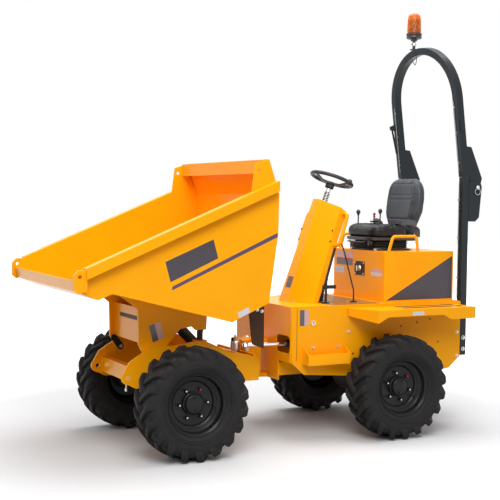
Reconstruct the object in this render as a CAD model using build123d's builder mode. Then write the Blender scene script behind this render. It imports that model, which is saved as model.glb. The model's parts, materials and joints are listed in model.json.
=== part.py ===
"""Site dumper: a two tonne, front tipping, articulated dumper with a folding roll hoop.

Millimetres. +X is forward (towards the skip), +Y is the machine's left, +Z is up.
The origin is on the ground, midway along the machine's length and on its centre line.
Stations are distances ahead of the rear axle; at(station) turns one into an X.
Pieces of sheet are drawn in side view and extruded across the machine.
"""
from math import atan2, cos, hypot, radians, sin, tan
import os

from build123d import *

# ---------------------------------------------------------------- driving dimensions
# overall
front_reach = 2580          # station of the lifting lugs at the skip's lip
rear_reach = 935            # distance from the rear axle back to the tow hitch's jaw
wheelbase = 1696
running_gap = 0.3           # between curved faces that nearly touch
pin_clearance = 0.05        # radial, a pin in its bore
side_gap = 5                # beside a plate that swings past another

# wheels
tyre_radius = 390           # out to the tips of the tread bars
tyre_width = 250
tyre_gap = 35               # between a tyre and the rear body's side
lug_count = 17              # tread bars on each half of a tyre, the two halves staggered
lug_depth = 28
lug_sweep = 45              # how far a bar's ends lie before and behind its middle
lug_length = 110            # across the tyre
lug_width = 36              # along the tread
rim_radius = 200            # where the tyre's beads sit
rim_flange_radius = 215
rim_width = 190
rim_wall = 8
rim_flange = 6
wheel_disc_offset = 5       # the wheel's disc, outboard of the tyre's middle
hub_radius = 78
hub_reach = 62              # the hub's cap, outboard of the disc
stub_radius = 35

# axles
axle_radius = 55
differential_radius = 125
differential_width = 210
axle_flange_radius = 95
axle_flange_width = 26

# articulation between the two halves
steer_station = 965
pivot_height = 580
pivot_pin_radius = 26
pivot_barrel_radius = 60
pivot_barrel_height = 226
pivot_plate_thickness = 26
oscillation_pin_radius = 38
oscillation_flange = 24

# rear body
body_half_width = 440
body_front_station = 834
body_rear_station = -725
body_plate = 8
deck_height = 1000
deck_plate = 6
panel_bottom = 462
panel_front_bottom = 586
panel_front_chamfer_station = 715
panel_rear_bottom = 553
panel_rear_chamfer = 105

# seat box, which is the engine's cover and hinges at its rear
cover_half_width = 372
cover_front_station = -35
cover_rear_station = -705
cover_top = 1390
cover_sheet = 4
cover_bottom = deck_height + running_gap
cover_hinge_radius = 9

# console in front of the driver
console_front_station = 653
console_flank_station = 533
console_back_station = 492
console_nose_half_width = 70
console_half_width = 255
console_top_nose_station = 367
console_top_flank_station = 257
console_top_back_station = 186
console_top_nose_half_width = 40
console_top_half_width = 222
console_top = 1800
console_dash_angle = 35
console_sheet = 5
column_lean = 20
column_radius = 17
steering_wheel_radius = 178
steering_rim_radius = 13
steering_wheel_station = 226
steering_wheel_height = 1948
steering_dish = 50
handle_radius = 11
handle_reach = 42

# skip
skip_half_width = 690
skip_sheet = 8
lug_overhang = 15           # the lifting lugs, ahead of the lip
lip_station = front_reach - lug_overhang
lip_top = 1254
lip_depth = 76
rail_height = 72
rail_width = 62
tip_station = 1860
tip_height = 685
tip_pin_radius = 25
tip_eye_radius = 60
gusset_inner = 275
gusset_thickness = 20
ear_top = 2062

# front frame
frame_plate = 20
tip_side_gap = 8            # between a gusset and the frame plate outside it
frame_inner = gusset_inner + gusset_thickness + tip_side_gap
frame_bottom = 460
foot_lug_station = 2050
foot_lug_height = 540
foot_lug_radius = 48
foot_lug_hole_radius = 16

# roll hoop
hoop_tube_x = 64
hoop_tube_y = 56
hoop_half_width = body_half_width - hoop_tube_y / 2     # to the middle of a leg
post_station = -757
post_bottom = 560
hoop_joint_height = 1980
hoop_joint_gap = 10
hoop_top = 3045
hoop_lean = 7.5
hoop_pin_station = -865
hoop_pin_height = 1900
hoop_pin_radius = 12
hoop_cheek = 12
hoop_plate = 22

# rams
steer_ram_inset = 55            # the rear pin, inside the rear body's side
steer_ram_rear = (360, body_half_width - steer_ram_inset)   # station and Y
steer_ram_front = (1120, 262)   # station and Y of the pin under the pivot block's arm
steer_ram_height = 716
steer_ram_lengths = (450, 570)      # barrel, rod
ram_eye_gap = 5
tip_ram_base = (1240, 545)      # station and height of the pin in the front frame
tip_ram_head = (1580, 885)      # station and height of the pin under the skip
steer_ram_radii = (30, 15, 13)      # barrel, rod, pin
tip_ram_radii = (40, 23, 17)
tip_ram_lengths = (440, 432)

rear_axle_x = (rear_reach - front_reach) / 2
track = 2 * (body_half_width + tyre_gap) + tyre_width   # between the middles of an axle's tyres
front_axle_x = rear_axle_x + wheelbase


def at(station):
    """X of a distance ahead of the rear axle."""
    return rear_axle_x + station


def side_points(points):
    """Side view points (station, height) as (X, Z)."""
    return [(at(station), height) for station, height in points]


def upright(left_face):
    """Side view plane whose extrusions run from this Y towards the machine's right."""
    return Plane.XZ.offset(-left_face)


def save(piece, name):
    """Label a finished piece and write its STEP file."""
    piece.label = name
    export_step(piece, f"parts/{name}.step")


os.makedirs("parts", exist_ok=True)


# ---------------------------------------------------------------- wheels
def tread_corner(station_angle, y, radius):
    """Point of a tyre standing at the origin; its angle grows from ahead, over the top."""
    return (radius * cos(station_angle), y, radius * sin(station_angle))


def lugged_tyre():
    """Flat faced carcass with a staggered tread bar on each half of every pitch, at the origin."""
    half = tyre_width / 2
    bead = rim_width / 2 - rim_flange - running_gap
    shoulder = half - 22
    sectors = 2 * lug_count
    sector = radians(360 / sectors)
    section = [  # y, radius
        (-bead, (rim_radius + running_gap) / cos(sector / 2)),
        (-bead, rim_flange_radius + 2),
        (-half, 0.77 * tyre_radius),
        (-shoulder, tyre_radius - lug_depth),
        (shoulder, tyre_radius - lug_depth),
        (half, 0.77 * tyre_radius),
        (bead, rim_flange_radius + 2),
        (bead, (rim_radius + running_gap) / cos(sector / 2)),
    ]
    faces = []
    for step in range(sectors):
        start, end = step * sector, (step + 1) * sector
        for low, high in zip(section, section[1:] + section[:1]):
            corners = [tread_corner(start, *low), tread_corner(start, *high),
                       tread_corner(end, *high), tread_corner(end, *low)]
            faces.append(Face(Wire.make_polygon(corners)))
    tip_offset = lug_sweep + lug_width / 2
    lug_top = (tyre_radius ** 2 - tip_offset ** 2) ** 0.5
    lug_root = 0.77 * tyre_radius
    first_angle = -radians(90) - atan2(tip_offset, lug_top)     # a bar's tip is what stands on the ground
    lug_start = 8
    with BuildPart() as tyre:
        add(Solid(Shell(faces)))
        for step in range(sectors):
            angle = first_angle + step * sector
            side = 1 if step % 2 == 0 else -1
            outward = (cos(angle), 0, sin(angle))
            root = Plane(origin=tread_corner(angle, 0, lug_root), x_dir=(0, side, 0), z_dir=outward)
            with BuildSketch(root):
                with BuildLine():
                    Polyline(
                        (lug_start, side * (-lug_sweep - lug_width / 2)),
                        (lug_start + lug_length, side * (lug_sweep - lug_width / 2)),
                        (lug_start + lug_length, side * (lug_sweep + lug_width / 2)),
                        (lug_start, side * (-lug_sweep + lug_width / 2)),
                        close=True,
                    )
                make_face()
            extrude(amount=lug_top - lug_root)
    return tyre.part


blank_tyre = lugged_tyre()


def wheel_pieces(name, axle_x, side):
    """One wheel's tyre and rim, turned about its axle; side is 1 on the left, -1 on the right."""
    middle = Plane(origin=(axle_x, side * track / 2, tyre_radius), x_dir=(1, 0, 0), z_dir=(0, side, 0))
    save(Pos(middle.origin) * blank_tyre, f"tyre_{name}")

    disc = wheel_disc_offset
    with BuildPart() as rim:
        with BuildSketch(Plane(middle.origin, x_dir=(0, side, 0), z_dir=(1, 0, 0))):
            with BuildLine():
                Polyline(
                    (-rim_width / 2, rim_radius - rim_wall),
                    (-rim_width / 2, rim_radius),
                    (rim_width / 2, rim_radius),
                    (rim_width / 2, rim_radius - rim_wall),
                    close=True,
                )
            make_face()
            with Locations((disc - 6, (rim_radius + hub_radius) / 2 - 4)):
                Rectangle(12, rim_radius - hub_radius)
            for edge in (-1, 1):
                with Locations((edge * (rim_width - rim_flange) / 2, (rim_radius + rim_flange_radius - rim_wall) / 2)):
                    Rectangle(rim_flange, rim_flange_radius - rim_radius + rim_wall)
            with BuildLine():
                Polyline(
                    (disc - 40, stub_radius + pin_clearance),
                    (disc - 40, hub_radius),
                    (disc + 20, hub_radius),
                    (disc + hub_reach - 8, hub_radius - 14),
                    (disc + hub_reach, hub_radius - 26),
                    (disc + hub_reach, 0),
                    (disc + hub_reach - 14, 0),
                    (disc + hub_reach - 14, stub_radius + pin_clearance),
                    close=True,
                )
            make_face()
        revolve(axis=Axis(middle.origin, (0, 1, 0)))
    save(rim.part, f"rim_{name}")


for end_name, axle_x in (("front", front_axle_x), ("rear", rear_axle_x)):
    for side_name, side in (("left", 1), ("right", -1)):
        wheel_pieces(f"{end_name}_{side_name}", axle_x, side)


# ---------------------------------------------------------------- axles
stub_end = track / 2 + wheel_disc_offset + hub_reach - 14 - 6
flange_face = track / 2 + wheel_disc_offset - 40 - side_gap


def axle(name, axle_x, frame_underside, saddle_y):
    """Axle tube with its differential, wheel flanges, stubs and the saddles that hold the frame."""
    with BuildPart() as beam:
        with BuildSketch(Plane(origin=(axle_x, 0, tyre_radius), x_dir=(0, 1, 0), z_dir=(1, 0, 0))):
            with BuildLine():
                Polyline(
                    (-stub_end, 0),
                    (-stub_end, stub_radius),
                    (-flange_face, stub_radius),
                    (-flange_face, axle_flange_radius),
                    (-flange_face + axle_flange_width, axle_flange_radius),
                    (-flange_face + axle_flange_width + 30, axle_radius),
                    (-differential_width, axle_radius),
                    (-differential_width / 2, differential_radius),
                    (differential_width / 2, differential_radius),
                    (differential_width, axle_radius),
                    (flange_face - axle_flange_width - 30, axle_radius),
                    (flange_face - axle_flange_width, axle_flange_radius),
                    (flange_face, axle_flange_radius),
                    (flange_face, stub_radius),
                    (stub_end, stub_radius),
                    (stub_end, 0),
                    close=True,
                )
            make_face()
        revolve(axis=Axis((axle_x, 0, tyre_radius), (0, 1, 0)))
        with BuildSketch(Plane.XY.offset(tyre_radius)):
            with Locations((axle_x, saddle_y), (axle_x, -saddle_y)):
                Rectangle(130, 34)
        extrude(amount=frame_underside - tyre_radius)
    save(beam.part, name)


rail_inner = 225
rail_width_y = 30
rail_bottom = 470
rail_top = 570
axle("rear_axle", rear_axle_x, rail_bottom, rail_inner + rail_width_y / 2)
axle("front_axle", front_axle_x, frame_bottom, frame_inner + frame_plate / 2)


# ---------------------------------------------------------------- rear body
wall_face = at(body_front_station)
wall_inner = wall_face - 12
rear_face = at(body_rear_station)
deck_under = deck_height - deck_plate
panel_inner = body_half_width - body_plate
fork_half_width = 90
fork_low = pivot_height - pivot_barrel_height / 2 - side_gap - pivot_plate_thickness
fork_high = pivot_height + pivot_barrel_height / 2 + side_gap
ram_window = (210, 130)
ram_window_y = panel_inner - ram_window[0] / 2 - 2
shelf_plate = 14            # carries the steering ram's rear pin
shelf_half_length = 40
cover_hinge_station = cover_rear_station - 17
cover_hinge_height = deck_height + 20
hinge_support_y = (213, 267)
hinge_support_width = 14

with BuildPart() as rear_frame:
    with BuildSketch(Plane.YZ.offset(wall_inner)):
        with Locations((0, (panel_front_bottom + deck_under) / 2)):
            Rectangle(2 * panel_inner, deck_under - panel_front_bottom)
        with Locations((0, (fork_low + panel_front_bottom) / 2 + 5)):
            Rectangle(2 * (rail_inner + rail_width_y), panel_front_bottom - fork_low + 10)
        with Locations((ram_window_y, steer_ram_height)):
            RectangleRounded(*ram_window, 40, mode=Mode.SUBTRACT)
    extrude(amount=wall_face - wall_inner)
    with BuildSketch(Plane.YZ.offset(rear_face)):
        with Locations((0, (panel_rear_bottom + deck_under) / 2)):
            Rectangle(2 * panel_inner, deck_under - panel_rear_bottom)
        with Locations((0, panel_rear_bottom)):
            Rectangle(2 * (rail_inner + rail_width_y), 2 * (panel_rear_bottom - rail_bottom))
    extrude(amount=10)
    for side in (1, -1):
        with BuildSketch(upright(side * (rail_inner + rail_width_y / 2) + rail_width_y / 2)):
            with BuildLine():
                Polyline(
                    (rear_face, rail_bottom),
                    (rear_face, rail_top),
                    (wall_inner, rail_top),
                    (wall_inner, rail_bottom),
                    close=True,
                )
            make_face()
        extrude(amount=rail_width_y)
    for bottom in (fork_low, fork_high):
        with BuildSketch(Plane.XY.offset(bottom)):
            with BuildLine():
                Polyline(
                    (wall_face, -fork_half_width),
                    (at(steer_station), -pivot_barrel_radius - 5),
                    (at(steer_station), pivot_barrel_radius + 5),
                    (wall_face, fork_half_width),
                    close=True,
                )
            make_face()
            with Locations((at(steer_station), 0)):
                Circle(pivot_barrel_radius + 5)
                Circle(pivot_pin_radius + pin_clearance, mode=Mode.SUBTRACT)
        extrude(amount=pivot_plate_thickness)
    for side in (1, -1):
        for support_y in hinge_support_y:
            with BuildSketch(upright(side * support_y + hinge_support_width / 2)):
                with BuildLine():
                    Polyline(
                        (rear_face, deck_under),
                        (at(cover_hinge_station) - 13, cover_hinge_height),
                        (at(cover_hinge_station) + 13, cover_hinge_height),
                        (rear_face + 10, deck_under),
                        close=True,
                    )
                make_face()
                with Locations((at(cover_hinge_station), cover_hinge_height)):
                    Circle(13)
            extrude(amount=hinge_support_width)
        with BuildSketch(upright(side * sum(hinge_support_y) / 2 + (hinge_support_y[1] - hinge_support_y[0]) / 2)):
            with Locations((at(cover_hinge_station), cover_hinge_height)):
                Circle(cover_hinge_radius)
        extrude(amount=hinge_support_y[1] - hinge_support_y[0])
    shelf_top = steer_ram_height - steer_ram_radii[0] - ram_eye_gap
    with BuildSketch(Plane.XY.offset(rail_top)):
        with Locations((at(steer_ram_rear[0]), rail_inner + rail_width_y / 2)):
            Rectangle(2 * shelf_half_length, rail_width_y)
    extrude(amount=shelf_top - rail_top)
    with BuildSketch(Plane.XY.offset(shelf_top - shelf_plate)):
        with Locations((at(steer_ram_rear[0]), (rail_inner + steer_ram_rear[1] + shelf_half_length) / 2 - 5)):
            Rectangle(2 * shelf_half_length, steer_ram_rear[1] + shelf_half_length - rail_inner - 10)
    extrude(amount=shelf_plate)
    with BuildSketch(Plane.XY.offset(shelf_top)):
        with Locations((at(steer_ram_rear[0]), steer_ram_rear[1])):
            Circle(steer_ram_radii[2])
    extrude(amount=2 * (steer_ram_radii[0] + ram_eye_gap))
save(rear_frame.part, "rear_frame")

step_low = 572
step_high = 712
step_front_station = 735
step_rear_station = 372
step_reach = 95
for side_name, side in (("left", 1), ("right", -1)):
    near_face = max(side * body_half_width, side * panel_inner)
    with BuildPart() as panel:
        with BuildSketch(upright(near_face)):
            with BuildLine():
                Polyline(*side_points([
                    (body_front_station, deck_under),
                    (body_front_station - 12, panel_front_bottom),
                    (panel_front_chamfer_station, panel_bottom + 32),
                    (300, panel_bottom),
                    (body_rear_station + panel_rear_chamfer + 60, panel_bottom - 4),
                    (body_rear_station + panel_rear_chamfer, panel_bottom + 4),
                    (body_rear_station, panel_rear_bottom),
                    (body_rear_station, deck_under),
                ]), close=True)
            make_face()
        extrude(amount=body_plate)
        step_face = max(side * (body_half_width + step_reach), side * (body_half_width + step_reach - 6))
        with BuildSketch(upright(step_face)):
            with BuildLine():
                Polyline(*side_points([
                    (step_rear_station, step_low),
                    (step_rear_station, step_high - 60),
                    (step_front_station, step_high - 60),
                    (step_front_station, step_low),
                ]), close=True)
            make_face()
        extrude(amount=6)
        with BuildSketch(Plane.XY.offset(step_low)):
            with Locations((at((step_rear_station + step_front_station) / 2), side * (body_half_width + step_reach / 2))):
                Rectangle(step_front_station - step_rear_station, step_reach)
        extrude(amount=6)
        for station in (step_rear_station, step_front_station - 6):
            with BuildSketch(Plane.YZ.offset(at(station))):
                with BuildLine():
                    Polyline(
                        (side * body_half_width, step_low),
                        (side * body_half_width, step_high),
                        (side * (body_half_width + step_reach), step_high - 60),
                        (side * (body_half_width + step_reach), step_low),
                        close=True,
                    )
                make_face()
            extrude(amount=6)
    save(panel.part, f"side_panel_{side_name}")

with BuildPart() as deck:
    with BuildSketch(Plane.XY.offset(deck_under)):
        with Locations((at((body_front_station + cover_rear_station) / 2), 0)):
            Rectangle(body_front_station - cover_rear_station, 2 * body_half_width)
        with Locations((at((cover_front_station + cover_rear_station) / 2), 0)):
            Rectangle(cover_front_station - cover_rear_station - 60, 2 * cover_half_width - 60,
                      mode=Mode.SUBTRACT)
    extrude(amount=deck_plate)
save(deck.part, "deck")

guard_width = 262           # out from the rear body's side
guard_outer = body_half_width + guard_width
guard_top = deck_height - 24
guard_drop = 88
guard_front_station = 348
guard_corner_station = 240
guard_rear_station = -662
guard_sheet = 6
for side_name, side in (("left", 1), ("right", -1)):
    with BuildPart() as mudguard:
        with BuildSketch(Plane.XY.offset(guard_top - guard_sheet)):
            with BuildLine():
                Polyline(
                    (at(guard_front_station), side * body_half_width),
                    (at(guard_corner_station), side * guard_outer),
                    (at(guard_rear_station), side * guard_outer),
                    (at(guard_rear_station), side * body_half_width),
                    close=True,
                )
            make_face()
        extrude(amount=guard_sheet)
        outer_face = max(side * guard_outer, side * (guard_outer - guard_sheet))
        with BuildSketch(upright(outer_face)):
            with BuildLine():
                Polyline(*side_points([
                    (guard_corner_station, guard_top),
                    (guard_corner_station, guard_top - guard_drop - 8),
                    (guard_corner_station - 90, guard_top - guard_drop / 2 - 8),
                    (guard_rear_station + 300, guard_top - guard_drop / 2 - 8),
                    (guard_rear_station + 240, guard_top - guard_drop),
                    (guard_rear_station, guard_top - guard_drop),
                    (guard_rear_station, guard_top),
                ]), close=True)
            make_face()
        extrude(amount=guard_sheet)
        lead_x = guard_front_station - guard_corner_station
        lead_y = side * (body_half_width - guard_outer)
        lead_edge = Plane(
            origin=(at(guard_corner_station), side * guard_outer, guard_top),
            x_dir=(lead_x, lead_y, 0),
            z_dir=(lead_y, -lead_x, 0),
        )
        lead_run = hypot(lead_x, lead_y) - 2 * guard_sheet
        with BuildSketch(lead_edge):
            with BuildLine():
                Polyline(
                    (0, 0),
                    (0, -guard_drop - 8),
                    (lead_run, -guard_drop + 30),
                    (lead_run, 0),
                    close=True,
                )
            make_face()
        extrude(amount=side * guard_sheet)
    save(mudguard.part, f"mudguard_{side_name}")


with BuildPart() as engine:
    with BuildSketch(Plane.XY.offset(rail_top)):
        with Locations((at(-370), 0)):
            RectangleRounded(470, 2 * (rail_inner + rail_width_y) - 40, 30)
    extrude(amount=deck_under - rail_top + 150)
save(engine.part, "engine_block")

lean = radians(column_lean)
wheel_centre = Vector(at(steering_wheel_station), 0, steering_wheel_height)
column_axis = Vector(-sin(lean), 0, cos(lean))
hub_bottom = wheel_centre - column_axis * (steering_dish + 22)
column_foot = wheel_centre - column_axis * 420
column_shaft_radius = 9

# console: a folded sheet with a narrow nose, two flanks and short returns, open at the back


def console_outline(inset, lift):
    """Plan points of the console at a height above the deck, moved in by a sheet's thickness."""
    share = lift / (console_top - deck_height)
    def mix(low, high):
        return low + (high - low) * share
    nose = mix(console_front_station, console_top_nose_station) - inset
    flank = mix(console_flank_station, console_top_flank_station) - inset
    back = mix(console_back_station, console_top_back_station) - 4 * inset
    nose_half = mix(console_nose_half_width, console_top_nose_half_width) - inset / 2
    half = mix(console_half_width, console_top_half_width) - inset
    right = [(at(nose), nose_half), (at(flank), half), (at(back), half)]
    return right + [(x, -y) for x, y in reversed(right)]


def console_solid(inset, top):
    """Loft between the console's plan outlines at the deck and at the top."""
    with BuildPart() as block:
        for lift in (0, top - deck_height):
            with BuildSketch(Plane.XY.offset(deck_height + lift)):
                with BuildLine():
                    Polyline(*console_outline(inset, lift), close=True)
                make_face()
        loft(ruled=True)
    return block.part


dash_nose_height = console_top - 5
dash_rate = tan(radians(console_dash_angle))


def dash_cut(drop):
    """Everything above the sloping dash, as a big wedge."""
    nose_x = at(console_top_nose_station) + 5
    with BuildPart() as wedge:
        with BuildSketch(Plane.XZ):
            with BuildLine():
                Polyline(
                    (nose_x + 400, dash_nose_height - drop + 400 * dash_rate),
                    (nose_x - 400, dash_nose_height - drop - 400 * dash_rate),
                    (nose_x - 400, dash_nose_height + 900),
                    (nose_x + 400, dash_nose_height + 900),
                    close=True,
                )
            make_face()
        extrude(amount=console_half_width + 100, both=True)
    return wedge.part


with BuildPart() as console_void:
    add(console_solid(console_sheet, console_top))
    add(dash_cut(console_sheet), mode=Mode.SUBTRACT)

with BuildPart() as console:
    add(console_solid(0, console_top))
    add(dash_cut(0), mode=Mode.SUBTRACT)
    add(console_void.part, mode=Mode.SUBTRACT)
    with BuildSketch(Plane(column_foot, x_dir=(0, 1, 0), z_dir=column_axis)):
        Circle(column_radius + running_gap)
    extrude(amount=500, mode=Mode.SUBTRACT)
save(console.part, "console")

handle_stations = ((340, 1440), (258, 1680))
handle_end_gap = 1.1        # the handles' square ends stand on a flank that leans a little
for side_name, side in (("left", 1), ("right", -1)):
    low, high = (Vector(at(station), 0, height) for station, height in handle_stations)
    rise = (high - low).normalized()
    grip_plane = Plane(
        origin=low,
        x_dir=rise,
        z_dir=rise.cross(Vector(0, side, 0)),
    )
    reach = (high - low).length
    low_y, high_y = (
        console_half_width
        - (console_half_width - console_top_half_width) * (height - deck_height) / (console_top - deck_height)
        + handle_end_gap
        for station, height in handle_stations
    )
    with BuildPart() as handle:
        with BuildLine(grip_plane) as route:
            FilletPolyline(
                (0, low_y), (0, console_half_width + handle_reach),
                (reach, console_half_width + handle_reach - 12), (reach, high_y), radius=32,
            )
        with BuildSketch(Plane(origin=route.line @ 0, z_dir=route.line % 0)):
            Circle(handle_radius)
        sweep()
    save(handle.part, f"console_handle_{side_name}")


# ---------------------------------------------------------------- steering wheel and column
wheel_hub_radius = 34
wheel_hub_length = 34
column_end_gap = 2          # inside the hub, past the column's end
hub_cap_start = 28 + column_end_gap
hub_cap_length = wheel_hub_length + 10 - hub_cap_start
with BuildPart() as column:
    with BuildSketch(Plane(column_foot, x_dir=(0, 1, 0), z_dir=column_axis)):
        Circle(column_radius)
    extrude(amount=(hub_bottom - column_foot).length - side_gap)
    with BuildSketch(Plane(hub_bottom - column_axis * 20, x_dir=(0, 1, 0), z_dir=column_axis)):
        Circle(column_shaft_radius)
    extrude(amount=20 + 30)
save(column.part, "steering_column")

wheel_seat = Plane(wheel_centre, x_dir=(0, 1, 0), z_dir=column_axis)
wheel_hub_foot = -steering_dish - 22
rim_circle = steering_wheel_radius - steering_rim_radius
with BuildPart() as steering_wheel:     # built flat at the origin, then set on the column
    with BuildSketch(Plane.XY.offset(wheel_hub_foot)):
        Circle(wheel_hub_radius)
        Circle(column_shaft_radius + pin_clearance, mode=Mode.SUBTRACT)
    extrude(amount=wheel_hub_length)
    with BuildSketch(Plane.XY.offset(wheel_hub_foot + hub_cap_start)):
        Circle(30)
    extrude(amount=hub_cap_length)
    for turn in (90, 210, 330):
        outward = Vector(cos(radians(turn)), -sin(radians(turn)), 0)
        start = outward * 24 - Vector(0, 0, steering_dish)
        end = outward * rim_circle
        with BuildSketch(Plane(start, z_dir=end - start)):
            Circle(10)
        extrude(amount=(end - start).length)
    with BuildSketch(Plane.XZ):
        with Locations((rim_circle, 0)):
            RegularPolygon(steering_rim_radius, 12)
    revolve(axis=Axis.Z)
    with BuildSketch():
        with Locations((0, rim_circle)):
            Circle(9)
    extrude(amount=34)
    with Locations((0, rim_circle, 44)):
        Sphere(20)
save(wheel_seat.location * steering_wheel.part, "steering_wheel")

pedal_station = 415
with BuildPart() as brake_pedal:
    with BuildSketch(upright(168)):
        with BuildLine():
            Polyline(*side_points([
                (pedal_station + 40, deck_height + running_gap),
                (pedal_station - 20, deck_height + running_gap),
                (pedal_station - 45, deck_height + 150),
                (pedal_station - 70, deck_height + 170),
                (pedal_station - 60, deck_height + 185),
                (pedal_station - 20, deck_height + 165),
            ]), close=True)
        make_face()
    extrude(amount=64)
save(brake_pedal.part, "brake_pedal")

# ---------------------------------------------------------------- engine cover, seat
cover_front = at(cover_front_station)
cover_rear = at(cover_rear_station)
with BuildPart() as cover:
    with BuildSketch(Plane.XY.offset(cover_bottom)):
        with Locations(((cover_front + cover_rear) / 2, 0)):
            Rectangle(cover_front - cover_rear, 2 * cover_half_width)
    extrude(amount=cover_top - cover_bottom)
    fillet(cover.edges().filter_by(Axis.Z), 14)
    with BuildSketch(Plane.XY.offset(cover_bottom)):
        with Locations(((cover_front + cover_rear) / 2, 0)):
            RectangleRounded(cover_front - cover_rear - 2 * cover_sheet, 2 * (cover_half_width - cover_sheet), 10)
    extrude(amount=cover_top - cover_bottom - cover_sheet, mode=Mode.SUBTRACT)
    knuckle_length = hinge_support_y[1] - hinge_support_y[0] - hinge_support_width - 2 * side_gap
    for side in (1, -1):
        with BuildSketch(upright(side * sum(hinge_support_y) / 2 + knuckle_length / 2)):
            with Locations((at(cover_hinge_station), cover_hinge_height)):
                Circle(15)
            with Locations(((at(cover_hinge_station) + cover_rear) / 2 + 1, cover_hinge_height)):
                Rectangle(cover_rear - at(cover_hinge_station) + 2, 22)
            with Locations((at(cover_hinge_station), cover_hinge_height)):
                Circle(cover_hinge_radius + pin_clearance, mode=Mode.SUBTRACT)
        extrude(amount=knuckle_length)
save(cover.part, "engine_cover")

rail_tube = 12
rail_y = cover_half_width - 22
rail_stations = (-85, -363)
rail_rise = 118
for side_name, side in (("left", 1), ("right", -1)):
    with BuildPart() as seat_rail:
        front, rear = (at(station) for station in rail_stations)
        rail_plane = Plane(origin=(front, side * rail_y, cover_top), x_dir=(-1, 0, 0), z_dir=(0, 1, 0))
        span = front - rear
        with BuildLine(rail_plane) as route:
            FilletPolyline((0, running_gap), (38, rail_rise), (span - 18, rail_rise), (span, running_gap), radius=34)
        with BuildSketch(Plane(origin=route.line @ 0, z_dir=route.line % 0)):
            Circle(rail_tube)
        sweep()
        split(bisect_by=Plane.XY.offset(cover_top + running_gap), keep=Keep.TOP)
    save(seat_rail.part, f"seat_rail_{side_name}")

seat_middle_station = -250
seat_base_top = 1498
cushion_front_station = -22
cushion_rear_station = -398
back_rear_station = -506    # where the seat's pan ends behind the backrest
with BuildPart() as seat_base:
    with BuildSketch(Plane.XY.offset(cover_top + running_gap)):
        with Locations((at(seat_middle_station), 0)):
            RectangleRounded(400, 400, 40)
    with BuildSketch(Plane.XY.offset(cover_top + 45)):
        with Locations((at(seat_middle_station), 0)):
            RectangleRounded(330, 340, 40)
    with BuildSketch(Plane.XY.offset(seat_base_top)):
        with Locations((at((cushion_front_station + back_rear_station) / 2), 0)):
            RectangleRounded(cushion_front_station - back_rear_station, 430, 50)
    loft(ruled=True)
save(seat_base.part, "seat_base")

cushion_top = 1598
seat_half_width = 240
with BuildPart() as cushion:
    with BuildSketch(Plane.XY.offset(seat_base_top + running_gap)):
        with Locations((at((cushion_front_station + cushion_rear_station) / 2), 0)):
            RectangleRounded(cushion_front_station - cushion_rear_station, 2 * seat_half_width, 60)
    extrude(amount=cushion_top - seat_base_top - running_gap)
    fillet(cushion.faces().sort_by(Axis.Z)[-1].edges(), 28)
save(cushion.part, "seat_cushion")

back_foot = (-450, seat_base_top - 20)
back_head = (-508, 1985)
back_thickness = 96
with BuildPart() as backrest:
    back_lean = atan2(back_foot[0] - back_head[0], back_head[1] - back_foot[1])
    back_up = Vector(-sin(back_lean), 0, cos(back_lean))
    back_plane = Plane(
        origin=(at(back_foot[0]), 0, back_foot[1]),
        x_dir=(0, 1, 0),
        z_dir=Vector(0, 1, 0).cross(back_up),
    )
    back_height = hypot(back_head[0] - back_foot[0], back_head[1] - back_foot[1])
    with BuildSketch(back_plane):
        with BuildLine():
            Polyline(
                (-150, 0), (-165, 0.2 * back_height), (-232, 0.45 * back_height),
                (-228, 0.68 * back_height), (-150, 0.94 * back_height), (-90, back_height),
                (90, back_height), (150, 0.94 * back_height), (228, 0.68 * back_height),
                (232, 0.45 * back_height), (165, 0.2 * back_height), (150, 0), close=True,
            )
        make_face()
    extrude(amount=back_thickness / 2, both=True)
    split(bisect_by=Plane.XY.offset(seat_base_top + running_gap), keep=Keep.TOP)
save(backrest.part, "seat_back")

lever_y = -297
lever_table = [  # station, knob height
    (-225, 1690),
    (-385, 1672),
    (-445, 1698),
]
with BuildPart() as levers:
    with BuildSketch(Plane.XY.offset(cover_top + running_gap)):
        with Locations((at(-330), lever_y)):
            RectangleRounded(330, 54, 12)
    extrude(amount=70)
    for station, knob_height in lever_table:
        with BuildSketch(Plane.XY.offset(cover_top + 70)):
            with Locations((at(station), lever_y)):
                Circle(7)
        extrude(amount=knob_height - cover_top - 70)
        with Locations((at(station), lever_y, knob_height)):
            Sphere(19)
save(levers.part, "control_levers")

# ---------------------------------------------------------------- roll hoop
post_outer = hoop_half_width + hoop_tube_y / 2
post_front = at(post_station) + hoop_tube_x / 2
post_rear = at(post_station) - hoop_tube_x / 2
pin_x = at(hoop_pin_station)
cheek_bottom = hoop_pin_height - 272
cheek_offsets = (hoop_plate / 2 + side_gap + hoop_cheek / 2, -hoop_plate / 2 - side_gap - hoop_cheek / 2)
for side_name, side in (("left", 1), ("right", -1)):
    with BuildPart() as post:
        with BuildSketch(Plane.XY.offset(post_bottom)):
            with Locations((at(post_station), side * hoop_half_width)):
                RectangleRounded(hoop_tube_x, hoop_tube_y, 9)
        extrude(amount=hoop_joint_height - post_bottom)
        for offset_y in cheek_offsets:
            with BuildSketch(upright(side * hoop_half_width + offset_y + hoop_cheek / 2)):
                with BuildLine():
                    Polyline(
                        (post_rear + 2, cheek_bottom),
                        (post_rear - 68, cheek_bottom),
                        (post_rear - 104, cheek_bottom + 34),
                        (pin_x - 50, hoop_pin_height),
                        (pin_x, hoop_pin_height + 50),
                        (post_rear + 2, hoop_pin_height + 44),
                        close=True,
                    )
                make_face()
                with Locations((pin_x, hoop_pin_height)):
                    Circle(50)
                    Circle(hoop_pin_radius, mode=Mode.SUBTRACT)
            extrude(amount=hoop_cheek)
        with BuildSketch(upright(side * hoop_half_width + hoop_tube_y / 2)):
            with Locations((pin_x, hoop_pin_height)):
                Circle(hoop_pin_radius)
        extrude(amount=hoop_tube_y)
    save(post.part, f"roll_post_{side_name}")

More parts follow.
